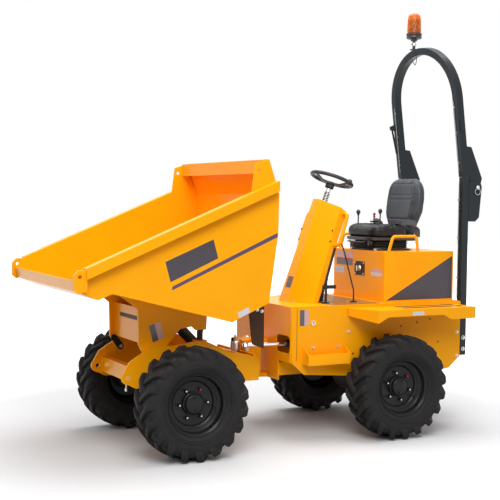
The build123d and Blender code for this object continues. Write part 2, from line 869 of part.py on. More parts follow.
lean_angle = radians(hoop_lean)
hoop_up = Vector(sin(lean_angle), 0, cos(lean_angle))
hoop_plane = Plane(
    origin=(at(post_station), 0, hoop_joint_height),
    x_dir=(0, 1, 0),
    z_dir=Vector(0, 1, 0).cross(hoop_up),
)
hoop_rise = (hoop_top - hoop_joint_height - hoop_tube_x / 2 * sin(lean_angle)) / cos(lean_angle)
outer = post_outer
inner = hoop_half_width - hoop_tube_y / 2
shoulder_rise = hoop_rise - outer
with BuildPart() as hoop:
    with BuildSketch(hoop_plane):
        with BuildLine():
            Line((-outer, hoop_joint_gap), (-outer, shoulder_rise))
            RadiusArc((-outer, shoulder_rise), (outer, shoulder_rise), outer)
            Line((outer, shoulder_rise), (outer, hoop_joint_gap))
            Line((outer, hoop_joint_gap), (inner, hoop_joint_gap))
            Line((inner, hoop_joint_gap), (inner, shoulder_rise))
            RadiusArc((inner, shoulder_rise), (-inner, shoulder_rise), -inner)
            Line((-inner, shoulder_rise), (-inner, hoop_joint_gap))
            Line((-inner, hoop_joint_gap), (-outer, hoop_joint_gap))
        make_face()
    extrude(amount=hoop_tube_x / 2, both=True)
    for side in (1, -1):
        with BuildSketch(upright(side * hoop_half_width + hoop_plate / 2)):
            with BuildLine():
                Polyline(
                    (post_rear + 14, hoop_joint_height + 16),
                    (post_rear + 30, hoop_joint_height + 248),
                    (post_rear - 28, hoop_joint_height + 242),
                    (post_rear - 140, hoop_joint_height - 5),
                    (pin_x - 46, hoop_pin_height),
                    (pin_x, hoop_pin_height - 46),
                    (pin_x + 44, hoop_pin_height),
                    (post_rear - 8, hoop_joint_height + 4),
                    close=True,
                )
            make_face()
            with Locations((pin_x, hoop_pin_height)):
                Circle(46)
                Circle(hoop_pin_radius + pin_clearance, mode=Mode.SUBTRACT)
        extrude(amount=hoop_plate)
save(hoop.part, "roll_hoop")

beacon_y = -110
beacon_x = at(post_station) + sin(lean_angle) * hoop_rise - 6
beacon_arc = shoulder_rise + (outer ** 2 - beacon_y ** 2) ** 0.5
beacon_foot = hoop_joint_height + beacon_arc * cos(lean_angle) + 9
beacon_base_height = beacon_foot + 92
with BuildPart() as beacon_base:
    with BuildSketch(Plane.XY.offset(beacon_foot + running_gap)):
        with Locations((beacon_x, beacon_y)):
            Circle(11)
    extrude(amount=beacon_base_height - beacon_foot)
    with BuildSketch(Plane.XY.offset(beacon_foot + running_gap)):
        with Locations((beacon_x, beacon_y)):
            Rectangle(48, 44)
    extrude(amount=8)
    with BuildSketch(Plane.XY.offset(beacon_base_height)):
        with Locations((beacon_x, beacon_y)):
            Circle(66)
    extrude(amount=46)
save(beacon_base.part, "beacon_base")
with BuildPart() as beacon_lens:
    with BuildSketch(Plane(origin=(beacon_x, beacon_y, beacon_base_height + 46 + running_gap), x_dir=(1, 0, 0), z_dir=(0, -1, 0))):
        with BuildLine():
            Polyline((0, 0), (58, 0), (52, 120), (40, 152), (22, 162), (0, 164), close=True)
        make_face()
    revolve(axis=Axis((beacon_x, beacon_y, 0), (0, 0, 1)))
save(beacon_lens.part, "beacon_lens")

# ---------------------------------------------------------------- tow hitch
hitch_height = 520
hitch_half_width = 60
hitch_gap = 70
hitch_pin_radius = 14
with BuildPart() as hitch:
    with BuildSketch(Plane.YZ.offset(rear_face - 20)):
        with Locations((0, hitch_height)):
            Rectangle(2 * hitch_half_width + 60, 170)
    extrude(amount=20)
    for bottom in (hitch_height - hitch_gap / 2 - 20, hitch_height + hitch_gap / 2):
        with BuildSketch(Plane.XY.offset(bottom)):
            with BuildLine():
                Polyline(
                    (rear_face - 10, -hitch_half_width),
                    (at(-rear_reach) + 50, -50),
                    (at(-rear_reach) + 50, 50),
                    (rear_face - 10, hitch_half_width),
                    close=True,
                )
            make_face()
            with Locations((at(-rear_reach) + 50, 0)):
                Circle(50)
                Circle(hitch_pin_radius, mode=Mode.SUBTRACT)
        extrude(amount=20)
save(hitch.part, "tow_hitch")


# ---------------------------------------------------------------- centre pivot
block_rear_station = 905
block_front_station = 1040
block_half_width = 118
block_half_height = pivot_barrel_height / 2
arm_root = 40               # the steering ram's arm stands on the block's left shoulder
arm_riser = 22
arm_plate = 14
arm_end_radius = 28
arm_underside = steer_ram_height + steer_ram_radii[1] + ram_eye_gap
cross_rear_station = 1050
cross_front_station = 1150
cross_plate = 20
with BuildPart() as pivot_block:
    with BuildSketch(Plane.XY.offset(pivot_height - block_half_height)):
        with Locations((at(steer_station), 0)):
            Circle(pivot_barrel_radius)
        with Locations((at((block_rear_station + block_front_station) / 2), 0)):
            Rectangle(block_front_station - block_rear_station, 2 * block_half_width)
    extrude(amount=pivot_barrel_height)
    with BuildSketch(Plane.XY.offset(fork_low - 12)):
        with Locations((at(steer_station), 0)):
            Circle(pivot_pin_radius)
    extrude(amount=fork_high + pivot_plate_thickness + 12 - fork_low + 12)
    with BuildSketch(Plane.YZ.offset(at(block_front_station))):
        with Locations((0, pivot_height)):
            Circle(oscillation_pin_radius)
    extrude(amount=cross_front_station - block_front_station + side_gap + oscillation_flange)
    with BuildSketch(Plane.YZ.offset(at(cross_front_station + side_gap))):
        with Locations((0, pivot_height)):
            Circle(oscillation_pin_radius + 24)
    extrude(amount=oscillation_flange)
    arm_x, arm_y = at(steer_ram_front[0]), steer_ram_front[1]
    with BuildSketch(Plane.XY.offset(pivot_height + block_half_height)):
        with Locations((at(block_front_station) - arm_root / 2, block_half_width - arm_riser / 2)):
            Rectangle(arm_root, arm_riser)
    extrude(amount=arm_underside + arm_plate - pivot_height - block_half_height)
    with BuildSketch(Plane.XY.offset(arm_underside)):
        with BuildLine():
            Polyline(
                (at(block_front_station) - arm_root, block_half_width - arm_riser),
                (at(block_front_station), block_half_width - arm_riser),
                (arm_x + arm_end_radius * 0.9, arm_y - arm_end_radius * 0.4),
                (arm_x - arm_end_radius * 0.9, arm_y + arm_end_radius * 0.4),
                (at(block_front_station) - arm_root, block_half_width),
                close=True,
            )
        make_face()
        with Locations((arm_x, arm_y)):
            Circle(arm_end_radius)
    extrude(amount=arm_plate)
save(pivot_block.part, "pivot_block")

# ---------------------------------------------------------------- front frame
bar_station = 2012
bar_depth = 60
bar_low = 494
bar_high = 603
belly_plate_station = wheelbase - differential_radius - 30
frame_tail_station = 1030
frame_tail_top = 650
frame_hump = (1480, 776)
tip_boss_radius = 66
buffer_station = 1490
buffer_radius = 22
buffer_top = 846
with BuildPart() as front_frame:
    for side in (1, -1):
        near_face = max(side * frame_inner, side * (frame_inner + frame_plate))
        with BuildSketch(upright(near_face)):
            with BuildLine():
                Polyline(*side_points([
                    (frame_tail_station, frame_bottom),
                    (frame_tail_station, frame_tail_top - 50),
                    (frame_tail_station + 75, frame_tail_top),
                    (frame_hump[0] - 230, frame_tail_top + 22),
                    frame_hump,
                    (tip_station - 150, tip_height + tip_boss_radius - 4),
                    (tip_station, tip_height + tip_boss_radius),
                    (tip_station + tip_boss_radius, tip_height + 34),
                    (foot_lug_station - 10, foot_lug_height + foot_lug_radius + 62),
                    (foot_lug_station + foot_lug_radius, foot_lug_height + 10),
                    (foot_lug_station, foot_lug_height - foot_lug_radius),
                    (foot_lug_station - 60, frame_bottom),
                ]), close=True)
            make_face()
            with Locations((at(tip_station), tip_height)):
                Circle(tip_boss_radius)
            with Locations((at(foot_lug_station), foot_lug_height)):
                Circle(foot_lug_radius)
                Circle(foot_lug_hole_radius, mode=Mode.SUBTRACT)
        extrude(amount=frame_plate)
        pin_start = max(side * (gusset_inner - 14), side * frame_inner)
        with BuildSketch(upright(pin_start)):
            with Locations((at(tip_station), tip_height)):
                Circle(tip_pin_radius)
        extrude(amount=frame_inner - gusset_inner + 14)
        shelf_start = max(side * frame_inner, side * (gusset_inner - 24))
        with BuildSketch(upright(shelf_start)):
            with Locations((at(buffer_station), frame_hump[1] - 12)):
                Rectangle(90, 20)
        extrude(amount=frame_inner - gusset_inner + 24)
    with BuildSketch(Plane.YZ.offset(at(bar_station - bar_depth))):
        with Locations((0, (bar_low + bar_high) / 2)):
            Rectangle(2 * frame_inner, bar_high - bar_low)
    extrude(amount=bar_depth)
    with BuildSketch(Plane.XY.offset(frame_bottom)):
        with Locations((at((cross_rear_station + belly_plate_station) / 2), 0)):
            Rectangle(belly_plate_station - cross_rear_station, 2 * frame_inner)
    extrude(amount=12)
    for station in (cross_rear_station, cross_front_station - cross_plate):
        with BuildSketch(Plane.YZ.offset(at(station))):
            with Locations((0, (frame_bottom + frame_tail_top) / 2)):
                Rectangle(2 * frame_inner, frame_tail_top - frame_bottom)
            with Locations((0, pivot_height)):
                Circle(oscillation_pin_radius + pin_clearance, mode=Mode.SUBTRACT)
        extrude(amount=cross_plate)
    with BuildSketch(Plane.YZ.offset(at(cross_rear_station + cross_plate))):
        with Locations((0, pivot_height)):
            Circle(oscillation_pin_radius + 22)
            Circle(oscillation_pin_radius + pin_clearance, mode=Mode.SUBTRACT)
    extrude(amount=cross_front_station - cross_rear_station - 2 * cross_plate)
    for side in (1, -1):
        ear_start = side * (tip_ram_radii[0] + ram_eye_gap + 8) + 8
        with BuildSketch(upright(ear_start)):
            with BuildLine():
                Polyline(*side_points([
                    (tip_ram_base[0] - 70, frame_bottom + 12),
                    (tip_ram_base[0] - 30, tip_ram_base[1] + 20),
                    (tip_ram_base[0] + 30, tip_ram_base[1] + 20),
                    (tip_ram_base[0] + 70, frame_bottom + 12),
                ]), close=True)
            make_face()
            with Locations((at(tip_ram_base[0]), tip_ram_base[1])):
                Circle(34)
        extrude(amount=16)
    with BuildSketch(upright(tip_ram_radii[0] + ram_eye_gap + 1)):
        with Locations((at(tip_ram_base[0]), tip_ram_base[1])):
            Circle(tip_ram_radii[2])
    extrude(amount=2 * (tip_ram_radii[0] + ram_eye_gap + 1))
save(front_frame.part, "front_frame")

with BuildPart() as buffers:
    for side in (1, -1):
        with BuildSketch(Plane.XY.offset(frame_hump[1] - 2 + running_gap)):
            with Locations((at(buffer_station), side * (gusset_inner + gusset_thickness / 2 - 8))):
                Circle(buffer_radius)
        extrude(amount=buffer_top - frame_hump[1] + 2 - running_gap)
save(buffers.part, "rest_buffers")

# ---------------------------------------------------------------- skip
floor_low = (1438, 940)
skip_heel = (1154, 1063)
skip_back_low = (1088, 1540)
skip_back_high = (1082, 1820)
ear_rear_station = 1166
ear_front_station = 1276
ear_foot = (1300, 1846)
ear_hole = (ear_front_station - 28, ear_top - 78)
ear_hole_radius = 12
belly_front = (lip_station - 259, lip_top - 94)         # the fold behind the skip's chin
chin = (lip_station - 162, lip_top - 132)
skip_side = [  # station, height, from the lip's lower edge round the underside to the rear's top
    (lip_station - 22, lip_top - lip_depth),
    chin,
    belly_front,
    floor_low,
    skip_heel,
    skip_back_low,
    skip_back_high,
    (ear_rear_station, ear_top),
    (ear_front_station, ear_top - 36),
    ear_foot,
]
rail_front = (lip_station - 65, lip_top + 78)
rail_rear = (1128, 1906)
rail_slope = (rail_rear[1] - rail_front[1]) / (rail_front[0] - rail_rear[0])
rail_end_station = rail_rear[0] - 16
rear_flange_depth = 46


def rail_line(station, drop=0):
    """Station and height of a point on the skip's top rail."""
    return (station, rail_front[1] + (rail_front[0] - station) * rail_slope - drop)


floor_rate = (lip_top - floor_low[1] - skip_sheet) / (lip_station - floor_low[0])
with BuildPart() as skip:
    with BuildSketch(Plane.XZ):
        with BuildLine():
            Polyline(*side_points(skip_side + [rail_line(ear_foot[0] - 2), rail_front, (lip_station, lip_top)]), close=True)
        make_face()
    extrude(amount=skip_half_width, both=True)
    with BuildSketch(Plane.XZ):
        with BuildLine():
            Polyline(*side_points([
                (lip_station + 100, lip_top + 100 * floor_rate),
                (floor_low[0] + 2, floor_low[1] + skip_sheet + 2 * floor_rate),
                (skip_heel[0] + skip_sheet, skip_heel[1] + 6),
                (skip_back_low[0] + skip_sheet, skip_back_low[1]),
                (skip_back_high[0] + skip_sheet, skip_back_high[1]),
                (ear_rear_station + skip_sheet, ear_top + 8),
                (ear_rear_station, ear_top + 400),
                (lip_station + 100, ear_top + 400),
            ]), close=True)
        make_face()
    extrude(amount=skip_half_width - skip_sheet, both=True, mode=Mode.SUBTRACT)
    with BuildSketch(Plane.XZ):
        with BuildLine():
            Polyline(*side_points([
                (ear_rear_station, ear_top - 100),
                (ear_rear_station, ear_top - 6),
                (ear_rear_station + rear_flange_depth, ear_top - 6),
                (ear_rear_station + rear_flange_depth, ear_top - 100),
            ]), close=True)
        make_face()
    extrude(amount=skip_half_width - skip_sheet, both=True)
    for side in (1, -1):
        rail_start = max(side * skip_half_width, side * (skip_half_width + rail_width))
        with BuildSketch(upright(rail_start)):
            with BuildLine():
                Polyline(*side_points([
                    rail_line(rail_end_station), rail_line(rail_front[0]),
                    rail_line(rail_front[0], rail_height), rail_line(rail_end_station, rail_height),
                ]), close=True)
            make_face()
        extrude(amount=rail_width)
        lug_start = max(side * (skip_half_width + 22), side * (skip_half_width + 46))
        with BuildSketch(upright(lug_start)):
            with BuildLine():
                Polyline(*side_points([
                    (front_reach, lip_top + 34), (front_reach - 30, lip_top + 66), (front_reach - 90, lip_top + 66),
                    (front_reach - 90, lip_top - 70), (front_reach - 30, lip_top - 84), (front_reach, lip_top - 60),
                ]), close=True)
            make_face()
            with Locations((at(front_reach - 40), lip_top + 24)):
                Circle(13, mode=Mode.SUBTRACT)
        extrude(amount=24)
        web_start = max(side * skip_half_width, side * (skip_half_width + 22))
        with BuildSketch(upright(web_start)):
            with BuildLine():
                Polyline(*side_points([
                    (front_reach - 60, lip_top - 10), (front_reach - 60, lip_top - 66),
                    (front_reach - 90, lip_top - 66), (front_reach - 90, lip_top + 20),
                ]), close=True)
            make_face()
        extrude(amount=22)
        with BuildSketch(upright(side * (skip_half_width - skip_sheet / 2) + skip_sheet)):
            with Locations((at(ear_hole[0]), ear_hole[1])):
                Circle(ear_hole_radius)
        extrude(amount=2 * skip_sheet, mode=Mode.SUBTRACT)
save(skip.part, "skip_shell")

belly_rate = (belly_front[1] - floor_low[1]) / (belly_front[0] - floor_low[0])


def belly(station):
    """Height of the skip's underside, just clear of it."""
    return floor_low[1] + (station - floor_low[0]) * belly_rate - running_gap


def heel_underside(station):
    """Height of the skip's rear underside between its heel and its lowest fold, just clear of it."""
    rate = (skip_heel[1] - floor_low[1]) / (floor_low[0] - skip_heel[0])
    return skip_heel[1] - (station - skip_heel[0]) * rate - 1.5 * running_gap


front_plate_station = tip_station + 55
front_plate_top = 1010
gusset_front = belly_front[0] - 206
bracket_rib_station = 1700
bracket_rib_depth = 134
skirt_y = 500
skirt_bottom = 722
with BuildPart() as brackets:
    for side in (1, -1):
        gusset_start = max(side * gusset_inner, side * (gusset_inner + gusset_thickness))
        with BuildSketch(upright(gusset_start)):
            with BuildLine():
                Polyline(*side_points([
                    (floor_low[0] + 4, belly(floor_low[0] + 4)),
                    (gusset_front, belly(gusset_front)),
                    (gusset_front - 70, belly(gusset_front) - 52),
                    (tip_station + 112, front_plate_top),
                    (tip_station + 105, tip_height + 78),
                    (tip_station + 40, tip_height - 44),
                    (tip_station - 40, tip_height - 44),
                    (tip_station - 128, tip_height + 87),
                    (tip_station - 210, buffer_top + 14),
                    (tip_station - 300, buffer_top + 28),
                    (buffer_station + 40, buffer_top + running_gap),
                    (floor_low[0] + 8, buffer_top + running_gap),
                ]), close=True)
            make_face()
            with Locations((at(tip_station), tip_height)):
                Circle(tip_eye_radius)
                Circle(tip_pin_radius + pin_clearance, mode=Mode.SUBTRACT)
        extrude(amount=gusset_thickness)
        ear_start = side * (tip_ram_radii[1] + ram_eye_gap + 8) + 8
        with BuildSketch(upright(ear_start)):
            with BuildLine():
                Polyline(*side_points([
                    (tip_ram_head[0] - 60, belly(tip_ram_head[0] - 60)),
                    (tip_ram_head[0] + 60, belly(tip_ram_head[0] + 60)),
                    (tip_ram_head[0] + 30, tip_ram_head[1]),
                    (tip_ram_head[0] - 30, tip_ram_head[1]),
                ]), close=True)
            make_face()
            with Locations((at(tip_ram_head[0]), tip_ram_head[1])):
                Circle(30)
        extrude(amount=16)
    with BuildSketch(Plane.YZ.offset(at(front_plate_station))):
        with Locations((0, (tip_height + 78 + front_plate_top) / 2)):
            Rectangle(2 * gusset_inner, front_plate_top - tip_height - 78)
    extrude(amount=10)
    with BuildSketch(Plane.YZ.offset(at(bracket_rib_station))):
        with Locations((0, belly(bracket_rib_station) - bracket_rib_depth / 2)):
            Rectangle(2 * gusset_inner, bracket_rib_depth)
    extrude(amount=12)
save(brackets.part, "skip_brackets")

with BuildPart() as skirts:
    for side in (1, -1):
        skirt_start = max(side * skirt_y, side * (skirt_y + 10))
        with BuildSketch(upright(skirt_start)):
            with BuildLine():
                Polyline(*side_points([
                    (skip_heel[0] - 62, skip_heel[1] + 17),
                    (skip_heel[0], skip_heel[1] - 1.5 * running_gap),
                    (skip_heel[0] + 61, heel_underside(skip_heel[0] + 61)),
                    (skip_heel[0] + 52, skirt_bottom + 23),
                    (skip_heel[0] + 26, skirt_bottom),
                    (skip_heel[0] - 44, skirt_bottom),
                    (skip_heel[0] - 60, skirt_bottom + 18),
                ]), close=True)
            make_face()
        extrude(amount=10)
save(skirts.part, "skip_skirts")

# ---------------------------------------------------------------- rams


def ram(name, foot, head, eye_axis, lengths, radii, pin_side):
    """Barrel on its foot's pin, and rod with its own pin at the head; pin_side 0 is a pin on both sides."""
    barrel_radius, rod_radius, pin_radius = radii
    barrel_length, rod_length = lengths
    along = (head - foot).normalized()
    barrel_eye = barrel_radius - 4
    rod_eye = rod_radius - 3
    with BuildPart() as barrel:
        with BuildSketch(Plane(foot + along * (pin_radius + 8), x_dir=eye_axis, z_dir=along)):
            Circle(barrel_radius)
        extrude(amount=barrel_length - pin_radius - 8)
        with BuildSketch(Plane(foot - eye_axis * barrel_eye, x_dir=along, z_dir=eye_axis)):
            Circle(pin_radius + 13)
        extrude(amount=2 * barrel_eye)
        with BuildSketch(Plane(foot - eye_axis * (barrel_radius + 1), x_dir=along, z_dir=eye_axis)):
            Circle(pin_radius + pin_clearance)
        extrude(amount=2 * barrel_radius + 2, mode=Mode.SUBTRACT)
        with BuildSketch(Plane(foot + along * (pin_radius + 24), x_dir=eye_axis, z_dir=along)):
            Circle(rod_radius + pin_clearance)
        extrude(amount=barrel_length, mode=Mode.SUBTRACT)
    save(barrel.part, f"{name}_barrel")
    with BuildPart() as rod:
        with BuildSketch(Plane(head - along * rod_length, x_dir=eye_axis, z_dir=along)):
            Circle(rod_radius)
        extrude(amount=rod_length)
        with BuildSketch(Plane(head - eye_axis * rod_eye, x_dir=along, z_dir=eye_axis)):
            Circle(pin_radius + 12)
        extrude(amount=2 * rod_eye)
        pin_end = rod_radius + ram_eye_gap - running_gap
        pin_start = pin_end if pin_side == 0 else 0
        with BuildSketch(Plane(head - eye_axis * pin_start, x_dir=along, z_dir=eye_axis)):
            Circle(pin_radius)
        extrude(amount=pin_start + pin_end)
    save(rod.part, f"{name}_rod")


tip_foot = Vector(at(tip_ram_base[0]), 0, tip_ram_base[1])
tip_head = Vector(at(tip_ram_head[0]), 0, tip_ram_head[1])
ram("tip_ram", tip_foot, tip_head, Vector(0, 1, 0), tip_ram_lengths, tip_ram_radii, 0)
steer_foot = Vector(at(steer_ram_rear[0]), steer_ram_rear[1], steer_ram_height)
steer_head = Vector(at(steer_ram_front[0]), steer_ram_front[1], steer_ram_height)
ram("steer_ram", steer_foot, steer_head, Vector(0, 0, 1), steer_ram_lengths, steer_ram_radii, 1)
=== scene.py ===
"""Looks of the site dumper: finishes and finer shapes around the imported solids.

Metres, in the part's frame: +X is forward, +Y is the machine's left and +Z is up.
Stations are distances ahead of the rear axle; at(station) turns one into an X.
"""
import bmesh
import bpy
import json
import numpy as np
from math import cos, pi, radians, sin
from mathutils import Matrix, Vector


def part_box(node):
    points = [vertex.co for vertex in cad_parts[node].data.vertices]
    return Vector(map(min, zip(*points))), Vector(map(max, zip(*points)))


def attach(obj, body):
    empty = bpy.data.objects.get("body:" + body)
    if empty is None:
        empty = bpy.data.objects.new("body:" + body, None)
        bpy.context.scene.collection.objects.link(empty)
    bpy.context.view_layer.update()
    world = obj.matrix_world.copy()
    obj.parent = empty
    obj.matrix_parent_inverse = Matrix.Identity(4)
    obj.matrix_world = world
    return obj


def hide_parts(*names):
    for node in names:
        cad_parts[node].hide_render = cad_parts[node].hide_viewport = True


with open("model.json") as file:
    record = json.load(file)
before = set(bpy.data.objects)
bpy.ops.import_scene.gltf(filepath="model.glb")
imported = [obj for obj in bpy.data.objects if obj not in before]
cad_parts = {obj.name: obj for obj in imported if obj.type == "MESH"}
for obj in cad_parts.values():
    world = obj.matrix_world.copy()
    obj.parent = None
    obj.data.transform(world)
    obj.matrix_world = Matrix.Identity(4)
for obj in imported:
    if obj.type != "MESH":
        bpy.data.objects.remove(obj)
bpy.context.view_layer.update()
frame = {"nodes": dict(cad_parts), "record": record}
nodes = frame["nodes"]
axle_low, axle_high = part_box("rear_axle")
rear_axle_x = (axle_low.x + axle_high.x) / 2
axle_low, axle_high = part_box("front_axle")
front_axle_x = (axle_low.x + axle_high.x) / 2
body_of_node = {node: body
                for body, group in frame["record"]["behaviour"]["bodies"].items() for node in group}
slot_of_node = {row["node"]: row["material_slot"] for row in frame["record"]["subparts"]}
UP = np.array([0.0, 0.0, 1.0])


def at(station):
    """X of a distance ahead of the rear axle."""
    return rear_axle_x + station


# ---------------------------------------------------------------- finishes
class Wire:
    """A shader socket that takes part in arithmetic; every operation adds one Math node."""

    def __init__(self, finish, socket):
        self.finish, self.socket = finish, socket

    def math(self, operation, *terms):
        """One Math node on this wire and the other terms."""
        return self.finish.node("Math", {"operation": operation}, dict(enumerate(terms)))

    def __add__(self, other):
        return self.math("ADD", self, other)

    def __sub__(self, other):
        return self.math("SUBTRACT", self, other)

    def __rsub__(self, other):
        return self.math("SUBTRACT", other, self)

    def __mul__(self, other):
        return self.math("MULTIPLY", self, other)

    __radd__ = __add__
    __rmul__ = __mul__


class Graph:
    """A node tree to which nodes are added, wired as they are made."""

    def __init__(self, tree):
        self.tree = tree

    def join(self, value, socket):
        """Links a wire to the socket, or sets a plain value there."""
        if isinstance(value, Wire):
            self.tree.links.new(value.socket, socket)
        else:
            socket.default_value = value

    def node(self, kind, settings=None, inputs=None, out=0):
        """A node of this kind: its settings first, then the values or links of its sockets."""
        made = self.tree.nodes.new("ShaderNode" + kind)
        for words, value in (settings or {}).items():
            if words == "stops":
                while len(made.color_ramp.elements) < len(value):
                    made.color_ramp.elements.new(0.5)
                for element, (place, shade) in zip(made.color_ramp.elements, value):
                    element.position, element.color = place, (shade, shade, shade, 1.0)
            else:
                setattr(made, words, value)
        for key, value in (inputs or {}).items():
            self.join(value, made.inputs[key])
        return Wire(self, made.outputs[out])

    def plain_rays(self):
        """1 for what the camera, a mirror or glass sees, and 0 for rays that only carry light."""
        camera, glossy, glass = (self.node("LightPath", out=f"Is {kind} Ray")
                                 for kind in ("Camera", "Glossy", "Transmission"))
        return camera.math("MAXIMUM", camera.math("MAXIMUM", camera, glossy), glass)


class Finish(Graph):
    """A material round one Principled shader; constants go straight to the shader's sockets."""

    def __init__(self, name, color, roughness, **constants):
        self.material = bpy.data.materials.new(name)
        self.material.use_nodes = True
        super().__init__(self.material.node_tree)
        self.shader = self.tree.nodes["Principled BSDF"]
        self.shader.inputs["Base Color"].default_value = (*color, 1.0)
        self.shader.inputs["Roughness"].default_value = roughness
        for words, value in constants.items():
            self.shader.inputs[words.replace("_", " ").title().replace("Ior", "IOR")].default_value = value
        self.places = None

    def place(self):
        """Object coordinates of the shaded point."""
        if self.places is None:
            self.places = self.node("TexCoord", out="Object")
        return self.places

    def part(self, axis):
        """One of the shaded point's coordinates, 0, 1 or 2."""
        return self.node("SeparateXYZ", None, {0: self.place()}, out=axis)

    def noise(self, scale, detail=3.0, roughness=0.55, stretch=None):
        """Layered noise on Object coordinates, stretched along an axis where asked."""
        where = self.place()
        if stretch is not None:
            where = self.node("Mapping", None, {"Vector": where, "Scale": stretch})
        return self.node("TexNoise", None, {"Vector": where, "Scale": scale, "Detail": detail,
                                            "Roughness": roughness})

    def cells(self, scale, feature):
        """Voronoi cells on Object coordinates."""
        return self.node("TexVoronoi", {"feature": feature}, {"Vector": self.place(), "Scale": scale})

    def ramp(self, value, low, high):
        """0 below low, 1 above high, and straight between."""
        return self.node("MapRange", {"clamp": True}, {"Value": value, "From Min": low, "From Max": high})

    def mix(self, factor, low, high):
        """Colour between low and high; each is a wire or a linear RGB triple."""
        low, high = ((*c, 1.0) if isinstance(c, tuple) and len(c) == 3 else c for c in (low, high))
        return self.node("Mix", {"data_type": "RGBA"}, {0: factor, 6: low, 7: high}, out=2)

    def feed(self, **wires):
        """Links wires to the shader's sockets, named as in Base_Color."""
        for words, value in wires.items():
            self.join(value, self.shader.inputs[words.replace("_", " ")])

    def bump(self, height, distance, strength=1.0):
        """Feeds the shader's normal from a height, in metres of relief."""
        self.feed(Normal=self.node("Bump", None, {"Strength": strength, "Distance": distance,
                                                  "Height": height}))


def paint(name, color, roughness=0.3, dirt=(0.2, 0.13, 0.06), dirt_amount=0.09, coat=0.09, tint=(1, 1, 1)):
    """Gloss paint: a faint orange-peel ripple, slow shade changes and dust that thickens low down.

    The tint colours the sheen of the paint under its clear coat.
    """
    finish = Finish(name, color, roughness, coat_roughness=0.07, coat_ior=1.5, specular_ior_level=0.2,
                    specular_tint=(*tint, 1.0))
    slow = finish.noise(2.3, 4.0)
    fine = finish.noise(34.0, 5.0, 0.65)
    low = 1 - finish.ramp(finish.part(2), 0.35, 1.25)
    dust = finish.ramp(slow * 0.5 + fine * 0.5, 0.42, 0.78) * (low * 0.75 + 0.25) * dirt_amount
    darker, lighter = tuple(c * 0.93 for c in color), tuple(min(1, c * 1.03) for c in color)
    shade = finish.mix(finish.ramp(slow, 0.3, 0.75), darker, lighter)
    finish.feed(Base_Color=finish.mix(dust, shade, dirt),
                Roughness=fine * 0.12 + dust * 0.9 + (roughness - 0.06), Coat_Weight=coat - dust * 0.8)
    finish.bump(finish.noise(420.0, 2.0), 0.0004, 0.25)
    return finish.material


def rubber(name, color=(0.017, 0.017, 0.018), dusty=(0.075, 0.055, 0.04), amount=0.38):
    """Tyre rubber: matt, with pale brown dust in patches and a fine grain."""
    finish = Finish(name, color, 0.62, specular_ior_level=0.12)
    patches = (finish.ramp(finish.noise(7.0, 5.0, 0.6), 0.38, 0.72)
               * finish.ramp(finish.noise(60.0, 4.0), 0.3, 0.7))
    finish.feed(Base_Color=finish.mix(patches * amount, color, dusty), Roughness=0.52 + patches * 0.3)
    finish.bump(finish.noise(700.0, 3.0), 0.0006, 0.35)
    return finish.material


def metal(name, color, roughness, streak=0.12):
    """Bare metal with fine stains and an uneven shine."""
    finish = Finish(name, color, roughness, metallic=1.0)
    streaks = finish.noise(160.0, 4.0, 0.6)
    stain = finish.ramp(finish.noise(18.0, 3.0), 0.45, 0.8)
    finish.feed(Base_Color=finish.mix(stain * 0.35, color, tuple(c * 0.6 for c in color)),
                Roughness=streaks * streak * 2 + (roughness - streak))
    finish.bump(streaks, 0.0003, 0.2)
    return finish.material


def moulded(name, color, roughness=0.45, grain=900.0, depth=0.0005, **constants):
    """Moulded plastic or vinyl with a pebbled grain and slightly worn shine."""
    finish = Finish(name, color, roughness, **constants)
    worn = finish.ramp(finish.noise(11.0, 4.0), 0.35, 0.75)
    finish.feed(Base_Color=finish.mix(worn, tuple(c * 0.82 for c in color), tuple(c * 1.18 for c in color)),
                Roughness=worn * 0.14 + (roughness - 0.07))
    finish.bump(finish.cells(grain, "SMOOTH_F1"), depth, 0.45)
    return finish.material


def film(name, color):
    """Self-adhesive film, slightly scuffed."""
    finish = Finish(name, color, 0.34, coat_weight=0.15, coat_roughness=0.12)
    wear = finish.ramp(finish.noise(16.0, 4.0, 0.6), 0.4, 0.8)
    finish.feed(Base_Color=finish.mix(wear, color, tuple(c * 0.85 + 0.01 for c in color)),
                Roughness=wear * 0.2 + 0.29)
    finish.bump(finish.noise(300.0, 2.0), 0.0002, 0.2)
    return finish.material


def woven(name, color):
    """Belt webbing: fine ribs across its width."""
    finish = Finish(name, color, 0.7, sheen_weight=0.3)
    finish.feed(Base_Color=finish.mix(finish.noise(30.0), tuple(c * 0.8 for c in color),
                                      tuple(c * 1.25 for c in color)))
    finish.bump(finish.noise(900.0, 1.0, 0.5, (1.0, 0.15, 1.0)), 0.0006, 0.6)
    return finish.material


YELLOW = (1.0, 0.395, 0.003)
yellow_paint = paint("yellow_gloss_paint", YELLOW, tint=(1.0, 0.6, 0.1))
slate_paint = paint("slate_hoop_paint", (0.015, 0.02, 0.024), 0.36, dirt=(0.08, 0.075, 0.07),
                    dirt_amount=0.1, coat=0.05)
black_paint = paint("black_chassis_paint", (0.014, 0.014, 0.015), 0.38, dirt=(0.12, 0.09, 0.06),
                    dirt_amount=0.35, coat=0.1)
rim_paint = paint("black_rim_paint", (0.009, 0.0095, 0.01), 0.3, dirt=(0.06, 0.05, 0.04),
                  dirt_amount=0.15, coat=0.03)
cast_paint = paint("cast_axle_paint", (0.016, 0.014, 0.012), 0.5, dirt=(0.11, 0.07, 0.04),
                   dirt_amount=0.6, coat=0.0)
# Dark brown matched to orange paint in deep shade: painted shade where it stands on the skirts, rest buffers,
# holes and slots
brown_and_shade_paint = paint("painted_shade_dark_brown", (0.045, 0.017, 0.006), 0.5, dirt=(0.1, 0.05, 0.02),
                    dirt_amount=0.35, coat=0.0)
tyre_rubber = rubber("tyre_rubber")
black_rubber = rubber("black_rubber", (0.012, 0.012, 0.012), (0.06, 0.05, 0.045), 0.3)
bare_steel = metal("zinc_steel", (0.62, 0.61, 0.58), 0.34)
